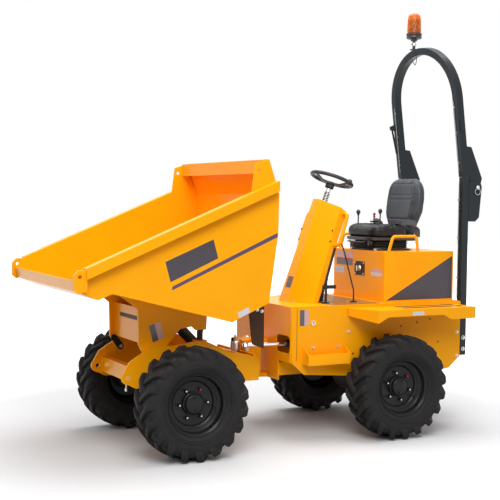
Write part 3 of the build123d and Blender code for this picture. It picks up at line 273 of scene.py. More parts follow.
chrome = metal("chromed_rod", (0.82, 0.82, 0.83), 0.12, streak=0.04)
black_plastic = moulded("black_plastic", (0.022, 0.022, 0.024), 0.42)
seat_vinyl = moulded("seat_vinyl", (0.036, 0.042, 0.051), 0.46, 1300.0, 0.0006, sheen_weight=0.1,
                     specular_ior_level=0.35)
amber_lens = moulded("amber_lens", (0.9, 0.2, 0.012), 0.1, 60.0, 0.0004, transmission_weight=0.62, ior=1.3)
dark_film = film("dark_panel_film", (0.03, 0.021, 0.03))
violet_film = film("violet_stripe_film", (0.062, 0.03, 0.078))
pale_film = film("pale_label_film", (0.58, 0.58, 0.62))
rose_film = film("rose_label_film", (0.62, 0.36, 0.33))
grey_film = film("grey_label_film", (0.085, 0.07, 0.075))
grit_film = rubber("anti_slip_film", (0.03, 0.024, 0.018), (0.16, 0.11, 0.06), 0.6)
tread_paint = paint("tread_plate_paint", (0.3, 0.12, 0.012), 0.32, dirt=(0.1, 0.06, 0.03),
                    dirt_amount=0.8, coat=0.3)
# A darker copy of the seat vinyl: painted shade on the cushion.
shade_darkened_vinyl = moulded("shade_darkened_vinyl", (0.015, 0.014, 0.014), 0.4, 1300.0, 0.0006, specular_ior_level=0.22)
wheel_plastic = moulded("soft_grip_plastic", (0.018, 0.018, 0.02), 0.5, 1500.0, 0.0004)
bellows_rubber = moulded("bellows_rubber", (0.016, 0.016, 0.017), 0.58, 800.0, 0.0004)
webbing = woven("dark_belt_webbing", (0.06, 0.064, 0.07))
grey_cable = moulded("grey_cable_sheath", (0.3, 0.32, 0.34), 0.5, 500.0, 0.0003)
dull_brass = metal("dull_brass", (0.5, 0.36, 0.12), 0.4)
red_paint = paint("red_paint", (0.55, 0.01, 0.016), 0.35, coat=0.2)
red_lens = moulded("red_lens", (0.5, 0.008, 0.006), 0.14, 300.0, 0.0006)
FINISH_OF_SLOT = {
    "amber": amber_lens,
    "yellow_paint": yellow_paint, "dark_paint": slate_paint, "black_paint": black_paint, "cast": cast_paint,
    "engine": black_paint, "tyre": tyre_rubber, "rim": rim_paint, "steel": bare_steel, "rod": chrome,
    "plastic": black_plastic, "vinyl": seat_vinyl, "rubber": black_rubber,
}


# ---------------------------------------------------------------- shapes
def unit(vector):
    """Vectors scaled to length one, along the last axis."""
    vector = np.asarray(vector, float)
    return vector / np.linalg.norm(vector, axis=-1, keepdims=True)


def smooth_line(points, per_span=6, closed=False):
    """Catmull-Rom curve through the points: on each span, the cubic of its four nearest points."""
    points = np.asarray(points, float)
    count = len(points)
    spans = np.arange(count if closed else count - 1)
    pick = (lambda i: i % count) if closed else (lambda i: np.clip(i, 0, count - 1))
    a, b, c, d = (points[pick(spans + k)][:, None, :] for k in (-1, 0, 1, 2))
    t = (np.arange(per_span) / per_span)[None, :, None]
    line = 0.5 * (2 * b + (c - a) * t + (2 * a - 5 * b + 4 * c - d) * t ** 2
                  + (3 * b - a - 3 * c + d) * t ** 3)
    line = line.reshape(-1, points.shape[1])
    return line if closed else np.vstack([line, points[-1:]])


def full_turn(count):
    """Angles round a circle, its first one not repeated."""
    return np.linspace(0, 2 * pi, count, endpoint=False)


def rectangle(half_x, half_y):
    """Corners of a rectangle about the origin."""
    return [(-half_x, -half_y), (half_x, -half_y), (half_x, half_y), (-half_x, half_y)]


def linked(name, data):
    """A new object in the scene."""
    made = bpy.data.objects.new(name, data)
    bpy.context.scene.collection.objects.link(made)
    return made


def read(mesh, words):
    """The places or normals of a mesh's points, in an (n, 3) array."""
    values = np.empty(len(mesh.vertices) * 3)
    mesh.vertices.foreach_get(words, values)
    return values.reshape(-1, 3)


class Shell:
    """Collects surfaces as whole arrays and turns them into one piece."""

    def __init__(self):
        self.points, self.faces, self.finishes, self.count = [], [], [], 0

    def grid(self, points, wrap_u=False, wrap_v=False, finish=0, flip=False):
        """Quads between the neighbours of an (n, m, 3) array of points."""
        points = np.asarray(points, float)
        n, m = points.shape[:2]
        u = np.arange(n if wrap_u else n - 1)[:, None]
        v = np.arange(m if wrap_v else m - 1)[None, :]
        u2, v2 = (u + 1) % n, (v + 1) % m
        corners = [u * m + v, u2 * m + v, u2 * m + v2, u * m + v2]
        if flip:
            corners.reverse()
        quads = np.stack(np.broadcast_arrays(*corners), -1).reshape(-1, 4) + self.count
        self.points.append(points.reshape(-1, 3))
        self.faces += quads.tolist()
        self.finishes += [finish] * len(quads)
        self.count += n * m
        return self

    def cap(self, loop, finish=0, flip=False):
        """One flat face over a loop of points."""
        loop = np.asarray(loop, float)
        order = list(range(self.count, self.count + len(loop)))
        self.points.append(loop)
        self.faces.append(order[::-1] if flip else order)
        self.finishes.append(finish)
        self.count += len(loop)
        return self

    def tube(self, path, radius, sides=12, finish=0, closed=False, start=None):
        """A round section carried along a path, kept upright by turning with the path's bend.

        A point is the path's own + radius * (side * cos(angle) + third * sin(angle)). Each side is the last
        one with its part along the path taken out, and third is square to it and to the path.
        """
        path = np.asarray(path, float)
        ahead = np.roll(path, -1, 0) - np.roll(path, 1, 0)
        if not closed:
            ahead[0], ahead[-1] = path[1] - path[0], path[-1] - path[-2]
        ahead = unit(ahead)
        side = np.zeros_like(path)
        guess = np.array(start if start is not None else
                         (UP if abs(ahead[0] @ UP) < 0.9 else [1.0, 0, 0]), float)
        for k in range(len(path)):
            guess = guess - ahead[k] * (guess @ ahead[k])
            guess = guess / np.linalg.norm(guess)
            side[k] = guess
        third = np.cross(ahead, side)
        turn = full_turn(sides)
        radii = np.broadcast_to(np.asarray(radius, float), (len(path),))[:, None, None]
        ring = side[:, None] * np.cos(turn)[None, :, None] + third[:, None] * np.sin(turn)[None, :, None]
        skin = path[:, None] + ring * radii
        self.grid(skin, wrap_u=closed, wrap_v=True, finish=finish)
        if not closed:
            self.cap(skin[0], finish, flip=False).cap(skin[-1], finish, flip=True)
        return self

    def turned(self, profile, origin, axis, sides=32, finish=0, start=None):
        """A profile of (radius, height) turned about an axis through the origin.

        A point is origin + radius * (across * cos(angle) + third * sin(angle)) + height * axis, where across
        and third are square to the axis and to each other.
        """
        profile = np.asarray(profile, float)
        axis = unit(axis)
        guess = np.array(start if start is not None else
                         ([1.0, 0, 0] if abs(axis[0]) < 0.9 else [0, 1.0, 0]), float)
        across = unit(guess - axis * (guess @ axis))
        third = np.cross(axis, across)
        turn = full_turn(sides)
        circle = across * np.cos(turn)[:, None] + third * np.sin(turn)[:, None]
        skin = (np.asarray(origin, float) + profile[:, 0][:, None, None] * circle[None]
                + profile[:, 1][:, None, None] * axis)
        self.grid(skin, wrap_v=True, finish=finish, flip=True)
        return self

    def plate(self, corners, depth, finish=0):
        """A flat loop of points carried along the depth vector, with both ends closed."""
        near, depth = np.asarray(corners, float), np.asarray(depth, float)
        around = np.cross(near - near[0], np.roll(near, -1, 0) - near[0]).sum(0)
        if around @ depth < 0:
            near = near[::-1]
        self.grid(np.stack([near, near + depth]), wrap_v=True, finish=finish, flip=True)
        self.cap(near, finish, flip=True).cap(near + depth, finish)
        return self

    def prism(self, outline, origin, x_axis, y_axis, depth, finish=0):
        """A flat outline of (x, y) pairs on two axes, carried along the depth vector."""
        outline = np.asarray(outline, float)
        across, along = outline[:, :1] * np.asarray(x_axis), outline[:, 1:] * np.asarray(y_axis)
        return self.plate(np.asarray(origin, float) + across + along, depth, finish)

    def slab(self, low, high, finish=0):
        """A straight box between two corners."""
        low, high = np.asarray(low, float), np.asarray(high, float)
        size = high - low
        return self.prism([(0, 0), (size[0], 0), (size[0], size[1]), (0, size[1])], low, (1, 0, 0), (0, 1, 0),
                          (0, 0, size[2]), finish)

    def mesh(self, name):
        """The collected surfaces as one mesh."""
        made = bpy.data.meshes.new(name)
        made.from_pydata(np.vstack(self.points), [], self.faces)
        return made

    def build(self, name, body, slot, finishes, bevel=0.0, sharp=35.0, replaces=(), merge=True):
        """Makes the mesh, merges its doubles, shades it and gives it to its body."""
        mesh = self.mesh(name)
        for finish in finishes:
            mesh.materials.append(finish)
        mesh.polygons.foreach_set("material_index", self.finishes)
        piece = linked(name, mesh)
        if merge:
            tidy_mesh(mesh, DOUBLES)
        finish_piece(piece, body, bevel, sharp)
        if replaces:
            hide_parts(*replaces)


DOUBLES, SOLID_DOUBLES = 1e-5, 2e-6      # how near points are merged
SOLID_EDGE, SOLID_SHARP = 0.002, 32.0    # radius of a softened edge; degrees from which an edge is one


def tidy_mesh(mesh, distance, dissolve=False, outward=False):
    """Merges doubles, and where asked joins faces that lie in one plane and turns faces outwards."""
    shape = bmesh.new()
    shape.from_mesh(mesh)
    bmesh.ops.remove_doubles(shape, verts=shape.verts, dist=distance)
    if dissolve:
        bmesh.ops.dissolve_limit(shape, angle_limit=radians(1.0), verts=shape.verts, edges=shape.edges)
    if outward:
        bmesh.ops.recalc_face_normals(shape, faces=shape.faces)
    shape.to_mesh(mesh)
    shape.free()


def finish_piece(piece, body, bevel=0.0, sharp=35.0):
    """Smooth shading with sharp edges kept, small rounded edges, and the piece's body."""
    mesh = piece.data
    mesh.polygons.foreach_set("use_smooth", [True] * len(mesh.polygons))
    if bevel > 0:
        round_off = piece.modifiers.new("edges", "BEVEL")
        round_off.width = bevel
        round_off.segments = 2
        round_off.limit_method = "ANGLE"
        round_off.angle_limit = radians(sharp)
        round_off.harden_normals = True
    mesh.set_sharp_from_angle(angle=radians(sharp))
    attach(piece, body)


def softened(node, finish=None):
    """A copy of a solid with its doubles merged, its flat faces joined and its edges rounded."""
    source = nodes[node]
    mesh = source.data.copy()
    mesh.name = node + "_skin"
    mesh.materials.clear()
    mesh.materials.append(finish or FINISH_OF_SLOT[slot_of_node[node]])
    piece = linked(node + "_skin", mesh)
    tidy_mesh(mesh, SOLID_DOUBLES, dissolve=True)
    mesh.polygons.foreach_set("material_index", [0] * len(mesh.polygons))
    finish_piece(piece, body_of_node[node], SOLID_EDGE, SOLID_SHARP)
    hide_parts(node)


# ---------------------------------------------------------------- wheels
TYRE_RADIUS = 0.39
LUGS_PER_SIDE = 19
LUG_SWEEP = 0.3            # radians that a tread bar's shoulder trails its inner end
WHEEL_RINGS, RIM_RINGS = 96, 72
NUTS, NUT_CIRCLE = 6, 0.105
CARCASS = smooth_line([     # half section: offset from the tyre's middle, radius
    (0.0, 0.3665), (0.045, 0.366), (0.085, 0.361), (0.108, 0.35), (0.119, 0.332), (0.1235, 0.305),
    (0.1225, 0.278), (0.116, 0.252), (0.108, 0.236), (0.1035, 0.2275),
], 4)
BEAD = [(0.1025, 0.2255), (0.1015, 0.2285), (0.0985, 0.229), (0.0965, 0.2255),
        (0.0935, 0.219), (0.09, 0.2035)]
SIDEWALL_RIBS = [(0.262, (0.1195, 0.1225, 0.117)), (0.246, (0.1135, 0.117, 0.1105))]    # radius, offsets
BAR_FOOT = [(-0.012, 0.3645), (0.02, 0.3642), (0.055, 0.3625), (0.088, 0.357), (0.106, 0.349),
            (0.1165, 0.336), (0.1215, 0.32), (0.1225, 0.312)]
BAR_CREST = [(-0.008, 0.39), (0.022, 0.3898), (0.058, 0.389), (0.094, 0.3865), (0.119, 0.3795),
             (0.1272, 0.356), (0.1275, 0.33), (0.124, 0.314)]
BAR_TRAIL = [0.0, 0.2, 0.45, 0.72, 0.88, 0.97, 1.0, 1.0]
BAR_HALF_WIDTH = [0.0155, 0.0165, 0.0185, 0.0215, 0.0245, 0.0275, 0.029, 0.027]
BAR_SIDE = [(-1.0, 0.0, 0.0065), (-1.0, 0.92, 0.0), (-0.8, 1.0, 0.0), (0.8, 1.0, 0.0), (1.0, 0.92, 0.0),
            (1.0, 0.0, 0.0065)]


def wheel_space(offset, radius, angle, centre, side):
    """Points at an offset outboard, a radius and an angle about the axle; 0 is ahead and it grows upwards.

    From the wheel's centre, X is radius * cos(angle), Y is side * offset and Z is radius * sin(angle).
    """
    return np.stack(np.broadcast_arrays(centre[0] + radius * np.cos(angle), centre[1] + side * offset,
                                        centre[2] + radius * np.sin(angle)), -1)


def tyre(name, centre, side, body, phase):
    """A ring whose section is the carcass, and tread bars in two staggered rows.

    A bar is a section carried from the middle of the tread over the shoulder. Its foot lies on the
    carcass; its crest runs at the tyre's full radius and then down the shoulder. A point's angle is the
    bar's own, plus a trail that grows towards the shoulder, plus its distance across the bar divided by
    the tyre's radius, which taper makes a quarter wider at the inner end.
    """
    shell = Shell()
    half = np.vstack([CARCASS, BEAD])
    section = np.vstack([half[::-1] * [-1, 1], half[1:]])
    turn = full_turn(WHEEL_RINGS)
    skin = wheel_space(section[:, 0][:, None], section[:, 1][:, None], turn[None, :], centre, side)
    shell.grid(skin, wrap_v=True, flip=side < 0)
    foot, crest = smooth_line(BAR_FOOT, 2), smooth_line(BAR_CREST, 2)
    trail = smooth_line(np.array(BAR_TRAIL)[:, None], 2)[:, 0] * LUG_SWEEP
    width = smooth_line(np.array(BAR_HALF_WIDTH)[:, None], 2)[:, 0]
    across, lift, spread = (np.array(column) for column in zip(*BAR_SIDE))
    lift_rows = np.tile(lift, (len(foot), 1))
    lift_rows[0] = 0.0
    lift_rows[-1] *= 0.15
    place = foot[:, None] + (crest - foot)[:, None] * lift_rows[..., None]
    for row, sign in ((0, 1), (1, -1)):
        start = phase + (np.arange(LUGS_PER_SIDE) + row / 2) * 2 * pi / LUGS_PER_SIDE
        lean = (across[None] * width[:, None] + np.sign(across)[None] * spread[None]) / TYRE_RADIUS
        taper = 1 + 0.25 * (1 - trail / LUG_SWEEP)[None, :, None]
        angle = start[:, None, None] + trail[None, :, None] + lean[None] * taper
        bars = wheel_space(sign * place[None, ..., 0], place[None, ..., 1], angle, centre, side)
        for bar in bars:
            shell.grid(bar, flip=(sign * side) < 0)
    for sign in (1, -1):
        for radius, offsets in SIDEWALL_RIBS:
            band = np.stack([offsets, radius + 0.003 * np.array([1, 0, -1])], 1)
            shell.grid(wheel_space(sign * band[:, :1], band[:, 1:], turn[None], centre, side), wrap_v=True,
                       flip=(sign * side) > 0)
    shell.build(f"lugged_{name}", body, "tyre", [tyre_rubber], replaces=(name,), sharp=40)


RIM_SECTION = [             # offset outboard, radius: outer flange, well, inner flange and back
    (0.0935, 0.209), (0.0965, 0.212), (0.0965, 0.2145), (0.0945, 0.215), (0.0905, 0.21), (0.0885, 0.203),
    (0.06, 0.1985), (0.05, 0.19), (0.044, 0.176), (-0.03, 0.172), (-0.05, 0.19), (-0.062, 0.1985),
    (-0.089, 0.204), (-0.0935, 0.215), (-0.096, 0.212), (-0.0925, 0.203), (-0.08, 0.196), (-0.06, 0.193),
    (-0.045, 0.185), (-0.028, 0.167), (0.0405, 0.17), (0.048, 0.186), (0.058, 0.1935), (0.086, 0.199),
    (0.09, 0.205),
]
DISC_SECTION = [            # the wheel's centre, dished, outer side first
    (0.036, 0.17), (0.03, 0.156), (0.02, 0.15), (0.012, 0.148), (0.01, 0.142), (0.01, 0.08),
    (-0.002, 0.08), (-0.002, 0.146), (0.01, 0.156), (0.022, 0.17),
]
HUB_SECTION = [             # radius, offset outboard
    (0.0, 0.06), (0.056, 0.06), (0.064, 0.057), (0.0685, 0.05), (0.0695, 0.03), (0.076, 0.028),
    (0.079, 0.024), (0.079, -0.03),
]


def rim(name, centre, side, body, phase):
    """Deep-welled rim: turned sections, a dished centre, hub, six nuts, two plugs and a valve.

    Each section is turned about the axle; the nuts stand at equal angles round it.
    """
    shell = Shell()
    turn = full_turn(RIM_RINGS)
    for section in (RIM_SECTION, DISC_SECTION):
        line = np.array(section)
        shell.grid(wheel_space(line[:, :1], line[:, 1:], turn[None], centre, side),
                   wrap_u=True, wrap_v=True, flip=side < 0)
    out = np.array([0, side, 0.0])
    shell.turned(HUB_SECTION, centre, out, 40, start=(1, 0, 0))
    for step in range(NUTS):
        nut = wheel_space(0.01, NUT_CIRCLE, phase + step * 2 * pi / NUTS, centre, side)
        tip = 2 if step == 1 else 1
        shell.turned([(0, 0.019), (0.0085, 0.019), (0.011, 0.016), (0.012, 0.0)], nut, out, 6)
        shell.turned([(0, 0.03), (0.0055, 0.03), (0.0068, 0.028), (0.0068, 0.018)], nut, out, 10, finish=tip)
        shell.turned([(0.017, 0.0), (0.017, 0.003), (0.012, 0.004)], nut, out, 14)
    for step in range(2):
        plug = wheel_space(0.06, 0.046, phase + 0.5 + step * pi, centre, side)
        shell.turned([(0, 0.008), (0.006, 0.008), (0.0075, 0.0)], plug, out, 6)
    stem = wheel_space(0.036, 0.158, phase + 2.35, centre, side)
    lean = unit(out * 0.9 - unit(stem - np.asarray(centre) - out * 0.036) * 0.5)
    shell.turned([(0, 0.034), (0.0045, 0.034), (0.0045, 0.016), (0.007, 0.014), (0.0075, 0.0)],
                 stem, lean, 12, finish=3)
    shell.build(f"dished_{name}", body, "rim", [rim_paint, bare_steel, red_paint, black_rubber],
                replaces=(name,), sharp=38)


for end, axle_x, turn_phase in (("front", front_axle_x, 0.1), ("rear", rear_axle_x, 0.45)):
    for side_name, side in (("left", 1), ("right", -1)):
        low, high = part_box(f"rim_{end}_{side_name}")
        middle = (axle_x, (low.y + high.y) / 2, TYRE_RADIUS)
        wheel_body = f"wheel_{end}_{side_name}"
        tyre(f"tyre_{end}_{side_name}", middle, side, wheel_body, turn_phase)
        rim(f"rim_{end}_{side_name}", middle, side, wheel_body, turn_phase + 0.9)


# ---------------------------------------------------------------- solids that keep their shape
REPLACED = ("skip_skirts", "console_handle_left", "console_handle_right", "steering_wheel", "seat_cushion",
            "seat_back", "seat_base", "control_levers", "beacon_base", "beacon_lens")
# The rest buffers take the dark brown of painted deep shade.
FINISH_OF_NODE = {"rest_buffers": brown_and_shade_paint}
for node in sorted(nodes):
    if not node.startswith(("tyre", "rim")) and node not in REPLACED:
        softened(node, finish=FINISH_OF_NODE.get(node))


# ---------------------------------------------------------------- places and small parts
SKIP_SIDE, BODY_SIDE, COVER_SIDE, GUARD_SIDE = 0.69, 0.44, 0.372, 0.702
DECK_TOP, COVER_TOP, COVER_FRONT, GUARD_TOP = 1.0, 1.39, -0.035, 0.976
AHEAD, LEFT = np.array([1.0, 0, 0]), np.array([0, 1.0, 0])


def spot(station, y, z):
    """A point given by its station, Y and height."""
    return np.array([at(station), y, z])


def side_face(side, y):
    """Turns a station and a height into a point of an upright plane along the machine."""
    return lambda station, z: spot(station, side * y, z)


def bolt(shell, place, out, size=0.009, finish=1):
    """Hexagon head on its washer, standing out of a face."""
    place, out = np.asarray(place, float), unit(out)
    shell.turned([(size * 1.2, size * 0.34), (size * 1.6, size * 0.26), (size * 1.65, -0.001)],
                 place, out, 16, finish)
    head = [(0, size * 1.15), (size * 0.82, size * 1.15), (size, size * 0.95), (size, 0)]
    shell.turned(head, place, out, 6, finish)


def patch(shell, corners, out, finish, lift=0.0007):
    """A film laid on a flat face: its outline, a little proud of the face."""
    shell.plate(np.asarray(corners) + np.asarray(out) * 0.0001, np.asarray(out) * lift, finish)


def quad(face, low, high):
    """Corners of an upright rectangle on a face, between two pairs of its own coordinates."""
    return [face(low[0], low[1]), face(high[0], low[1]), face(high[0], high[1]), face(low[0], high[1])]


def superellipse(middle, rings, power, sides):
    """Rings of the given half length, half width and height about a middle, in an (n, sides, 3) array.

    X is half length * cos(angle) and Y is half width * sin(angle), where the size of each cosine and
    sine is raised to 2 / power and its sign is kept.
    """
    turn = full_turn(sides)
    round_x, round_y = (np.sign(wave) * np.abs(wave) ** (2 / power) for wave in (np.cos(turn), np.sin(turn)))
    rings = np.asarray(rings, float)
    return np.stack([middle[0] + rings[:, :1] * round_x, middle[1] + rings[:, 1:2] * round_y,
                     middle[2] + rings[:, 2:] + 0 * round_x], -1)


def stacked(shell, middle, rings, power, sides, finish):
    """A closed skin over superellipse rings, lowest first."""
    skin = superellipse(middle, rings, power, sides)
    shell.grid(skin, wrap_v=True, finish=finish, flip=True)
    shell.cap(skin[0], finish, flip=True).cap(skin[-1], finish)


# ---------------------------------------------------------------- skip
def skip_trim():
    """Blank panel, stripe and label on each side of the skip, weld beads and the skirts' bolts."""
    films, welds, bolts, skirts = Shell(), Shell(), Shell(), Shell()
    inner_line = [(2.545, 1.25), (1.441, 0.951), (1.164, 1.071), (1.098, 1.54), (1.092, 1.82), (1.15, 1.955)]
    along, up = np.array([0.918, 0, -0.397]), np.array([0.397, 0, 0.918])
    for side in (1, -1):
        out, face = LEFT * side, side_face(side, SKIP_SIDE)
        patch(films, [face(1.938, 1.362), face(1.587, 1.509), face(1.551, 1.381), face(1.9, 1.227)], out, 0)
        patch(films, [face(1.89, 1.172), face(1.885, 1.198), face(1.0935, 1.552), face(1.0935, 1.522)],
              out, 1)
        foot = face(1.3, 1.004)
        patch(films, [foot, foot + along * 0.092, foot + along * 0.092 + up * 0.04, foot + up * 0.04], out, 2)
        welds.tube([spot(station, side * 0.6805, z + 0.004) for station, z in inner_line], 0.007, 8)
        # The skirts are plates in the dark brown of painted deep shade under the skip's rear.
        skirt = [(1.094, 1.048), (1.118, 1.07), (1.215, 0.974), (1.19, 0.768), (1.184, 0.755), (1.17, 0.747),
                 (1.108, 0.724), (1.098, 0.724), (1.092, 0.736)]
        skirts.plate([spot(station, side * 0.5005, z) for station, z in skirt], out * 0.0095)
        for station, z in ((1.15, 1.0), (1.112, 0.988)):
            bolt(bolts, spot(station, side * 0.51, z), out, 0.008, 0)
    films.build("skip_films", "skip", "yellow_paint", [dark_film, violet_film, pale_film], merge=False)
    welds.build("skip_weld_beads", "skip", "yellow_paint", [yellow_paint], merge=False)
    bolts.build("skirt_bolts", "skip", "steel", [bare_steel])
    skirts.build("painted_shade_skirts", "skip", "black_paint", [brown_and_shade_paint], bevel=0.002,
                 replaces=("skip_skirts",))


def bracket_trim():
    """Slot as a dark strip of painted shade, bolts and rubber grip of the skip's front plate, with a blank
    label on each gusset.

    The grip's outline is two half circles about its ends, joined by straight sides.
    """
    trim, grip = Shell(), Shell()
    # The slot is a dark brown strip: painted shade of its inside.
    slot = [(-0.17, 0.919), (0.25, 0.919), (0.266, 0.934), (0.25, 0.949), (-0.17, 0.949), (-0.186, 0.934)]
    patch(trim, [spot(1.925, y, z) for y, z in slot], AHEAD, 0)
    for side in (1, -1):
        for station, z in ((1.9, 0.897), (1.914, 0.835)):
            bolt(trim, spot(station, -side * 0.275, z), LEFT * side, 0.006, 3)
        face = side_face(side, 0.295)
        patch(trim, [face(1.89, 0.893), face(1.8475, 0.9065), face(1.8165, 0.7905), face(1.859, 0.775)],
              LEFT * side, 1)
        patch(trim, [face(1.8475, 0.9065), face(1.805, 0.92), face(1.774, 0.806), face(1.8165, 0.7905)],
              LEFT * side, 2)
    start, end = spot(1.94, -0.268, 0.748), spot(1.888, -0.268, 0.68)
    along = unit(end - start)
    across = np.array([along[2], 0, -along[0]])
    turn = np.linspace(-pi / 2, pi / 2, 9)[:, None]
    first = start + (across * np.sin(turn) - along * np.cos(turn)) * 0.024
    last = end + (across * np.sin(turn) + along * np.cos(turn)) * 0.024
    grip.plate(np.vstack([first, last[::-1]]), LEFT * 0.014)
    grip.build("rubber_grip", "skip", "rubber", [black_rubber], bevel=0.004)
    bolt(trim, end + LEFT * 0.014, LEFT, 0.008, 3)
    trim.build("bracket_trim", "skip", "yellow_paint",
               [brown_and_shade_paint, grey_film, rose_film, bare_steel], merge=False)


# ---------------------------------------------------------------- front chassis and pivot
def front_chassis_trim():
    """Weld beads, brake lines and the tie-down pin; the grease canister over the pivot."""
    trim, canister = Shell(), Shell()
    for side in (1, -1):
        trim.tube([spot(2.0135, side * 0.3, 0.494), spot(2.0135, side * 0.3, 0.603)], 0.006, 8, 0)
        trim.tube([spot(1.152, side * 0.301, 0.47), spot(1.152, side * 0.301, 0.65)], 0.006, 8, 0)
        axle = np.array([front_axle_x, 0, TYRE_RADIUS])
        line = [(0.056, 0.2, 0.03), (0.066, 0.3, 0.05), (0.064, 0.42, 0.03), (0.05, 0.5, 0.02)]
        trim.tube(smooth_line([axle + [x, side * y, z] for x, y, z in line], 5), 0.006, 8, 2)
    pin = [(0, 0.0), (0.006, 0.0), (0.006, -0.05), (0.011, -0.055), (0.011, -0.075), (0, -0.08)]
    trim.turned(pin[::-1], spot(2.0, 0.155, 0.495), UP, 12, finish=1)
    trim.build("front_chassis_trim", "front_chassis", "yellow_paint",
               [yellow_paint, bare_steel, black_rubber], merge=False)
    base = spot(1.086, 0.04, 0.65)
    canister.turned([(0, 0.066), (0.031, 0.066), (0.036, 0.061), (0.036, 0.002), (0.04, 0.0)], base, UP, 32)
    canister.turned([(0.022, 0.003), (0.022, -0.028)], base, UP, 24)
    canister.turned([(0, 0.112), (0.008, 0.112), (0.008, 0.1), (0.014, 0.098), (0.014, 0.066)],
                    base, UP, 6, finish=1)
    canister.turned([(0, 0.092), (0.01, 0.092), (0.013, 0.088), (0.013, 0.064)], base + [0.014, -0.012, 0],
                    UP, 12, finish=2)
    canister.build("grease_canister", "front_chassis", "steel", [bare_steel, dull_brass, black_rubber])


def pivot_trim():
    """Pin cap and bolts of the centre pivot."""
    trim = Shell()
    trim.turned([(0, 0.012), (0.02, 0.012), (0.026, 0.006), (0.026, 0.0)], spot(0.965, 0, 0.735), UP, 24)
    for z in (0.5, 0.66):
        bolt(trim, spot(1.02, 0.118, z), LEFT, 0.008, 0)
    trim.build("pivot_trim", "pivot_block", "steel", [bare_steel])


# ---------------------------------------------------------------- rear body
def body_trim():
    """Bolts, locks, drilled holes, labels and seams on the rear body's sides; the holes and the locks' key
    slots are dark brown discs and strips of painted shade.
    """
    trim = Shell()
    for side in (1, -1):
        out, face = LEFT * side, side_face(side, BODY_SIDE)
        patch(trim, quad(face, (0.7195, 0.858), (0.757, 0.975)), out, 1)
        patch(trim, quad(face, (0.682, 0.858), (0.7195, 0.975)), out, 2)
        for station, z in ((0.333, 0.798), (-0.693, 0.749), (-0.695, 0.562)):
            bolt(trim, face(station, z), out, 0.0085, 0)
        for station, z in ((0.642, 0.69), (0.427, 0.69)):
            bolt(trim, face(station, z), out, 0.0075, 0)
        for station, z in ((-0.149, 0.819), (-0.301, 0.843), (-0.507, 0.679), (-0.426, 0.862), (0.29, 0.63)):
            # A drilled hole is a thin dark brown disc: painted shade of its inside.
            hole = [(0.0075, 0.0008), (0.0062, 0.001), (0.0, 0.0009)]
            trim.turned(hole[::-1], face(station, z), out, 16, finish=3)
        lock = [(0.0, 0.004), (0.008, 0.004), (0.01, 0.007), (0.018, 0.006), (0.0205, 0.0)]
        trim.turned(lock, face(0.643, 0.874), out, 28, finish=0)
        # The lock's key slot is a dark brown strip: painted shade.
        patch(trim, quad(face, (0.6405, 0.866), (0.6455, 0.882)), out, 3, 0.0045)
        patch(trim, quad(face, (0.7795, 0.6), (0.7825, 0.986)), out, 3, 0.0008)
        guard = side_face(side, GUARD_SIDE)
        patch(trim, quad(guard, (-0.171, 0.93), (-0.067, 0.958)), out, 4)
    for station, y in ((0.252, 0.278), (0.01, 0.387), (0.655, 0.147), (0.252, -0.278),
                       (0.01, -0.387), (0.7, -0.3)):
        bolt(trim, spot(station, y, DECK_TOP), UP, 0.007, 0)
    trim.build("body_trim", "rear_chassis", "yellow_paint",
               [bare_steel, grey_film, rose_film, brown_and_shade_paint, pale_film], merge=False)


RIDGE_PITCH, RIDGE_MARGIN, RIDGE_TURN = 0.026, 0.018, 0.7854
RIDGE_HALF_LENGTH, RIDGE_HALF_WIDTH, RIDGE_HEIGHT = 0.0105, 0.0036, 0.0018


def tread_plate():
    """Dark chequered plate in the footwell: rows of low almond ridges turned one way and then the other.

    A ridge is three rows of four points that stand at -1, -1/2, 1/2 and 1 half lengths along it. Between
    its tips the outer rows swell by 0.8 half widths to either side, and the middle row rises.
    """
    plate = Shell()
    low, high = spot(0.03, -0.425, DECK_TOP), spot(0.48, 0.425, DECK_TOP + 0.0025)
    plate.slab(low, high)
    count_x, count_y = (int((high[k] - low[k] - 0.02) / RIDGE_PITCH) for k in (0, 1))
    column, row = np.meshgrid(np.arange(count_x), np.arange(count_y), indexing="ij")
    middle = np.stack([low[0] + RIDGE_MARGIN + column * RIDGE_PITCH,
                       low[1] + RIDGE_MARGIN + row * RIDGE_PITCH, 0 * row + high[2]], -1).reshape(-1, 3)
    way = np.where((column + row).reshape(-1) % 2, RIDGE_TURN, -RIDGE_TURN)
    along = np.stack([np.cos(way), np.sin(way), 0 * way], -1)
    aside = np.stack([-np.sin(way), np.cos(way), 0 * way], -1)
    reach = np.array([-1, -0.5, 0.5, 1])[None, :, None] * RIDGE_HALF_LENGTH * along[:, None]
    swell = np.array([0.0, 0.8, 0.8, 0.0])[None, :, None] * RIDGE_HALF_WIDTH * aside[:, None]
    rise = np.array([0.0, 1, 1, 0.0])[None, :, None] * RIDGE_HEIGHT * UP
    line = middle[:, None] + reach
    rows = np.stack([line - swell, line + rise, line + swell], 1)
    console_feet = (np.abs(middle[:, 1]) < 0.27) & (middle[:, 0] > at(0.478))
    for ridge in rows[~console_feet]:
        plate.grid(ridge, flip=True)
    plate.build("tread_plate", "rear_chassis", "black_paint", [tread_paint], merge=False)


def anti_slip_strips():
    """Two rough strips along the top of each mudguard."""
    strips = Shell()
    for side in (1, -1):
        for middle in (0.5, 0.6):
            edges = sorted((side * (middle - 0.022), side * (middle + 0.022)))
            strips.slab(spot(-0.6, edges[0], GUARD_TOP + 0.0001), spot(-0.045, edges[1], GUARD_TOP + 0.0011))
    strips.build("anti_slip_strips", "rear_chassis", "black_paint", [grit_film])


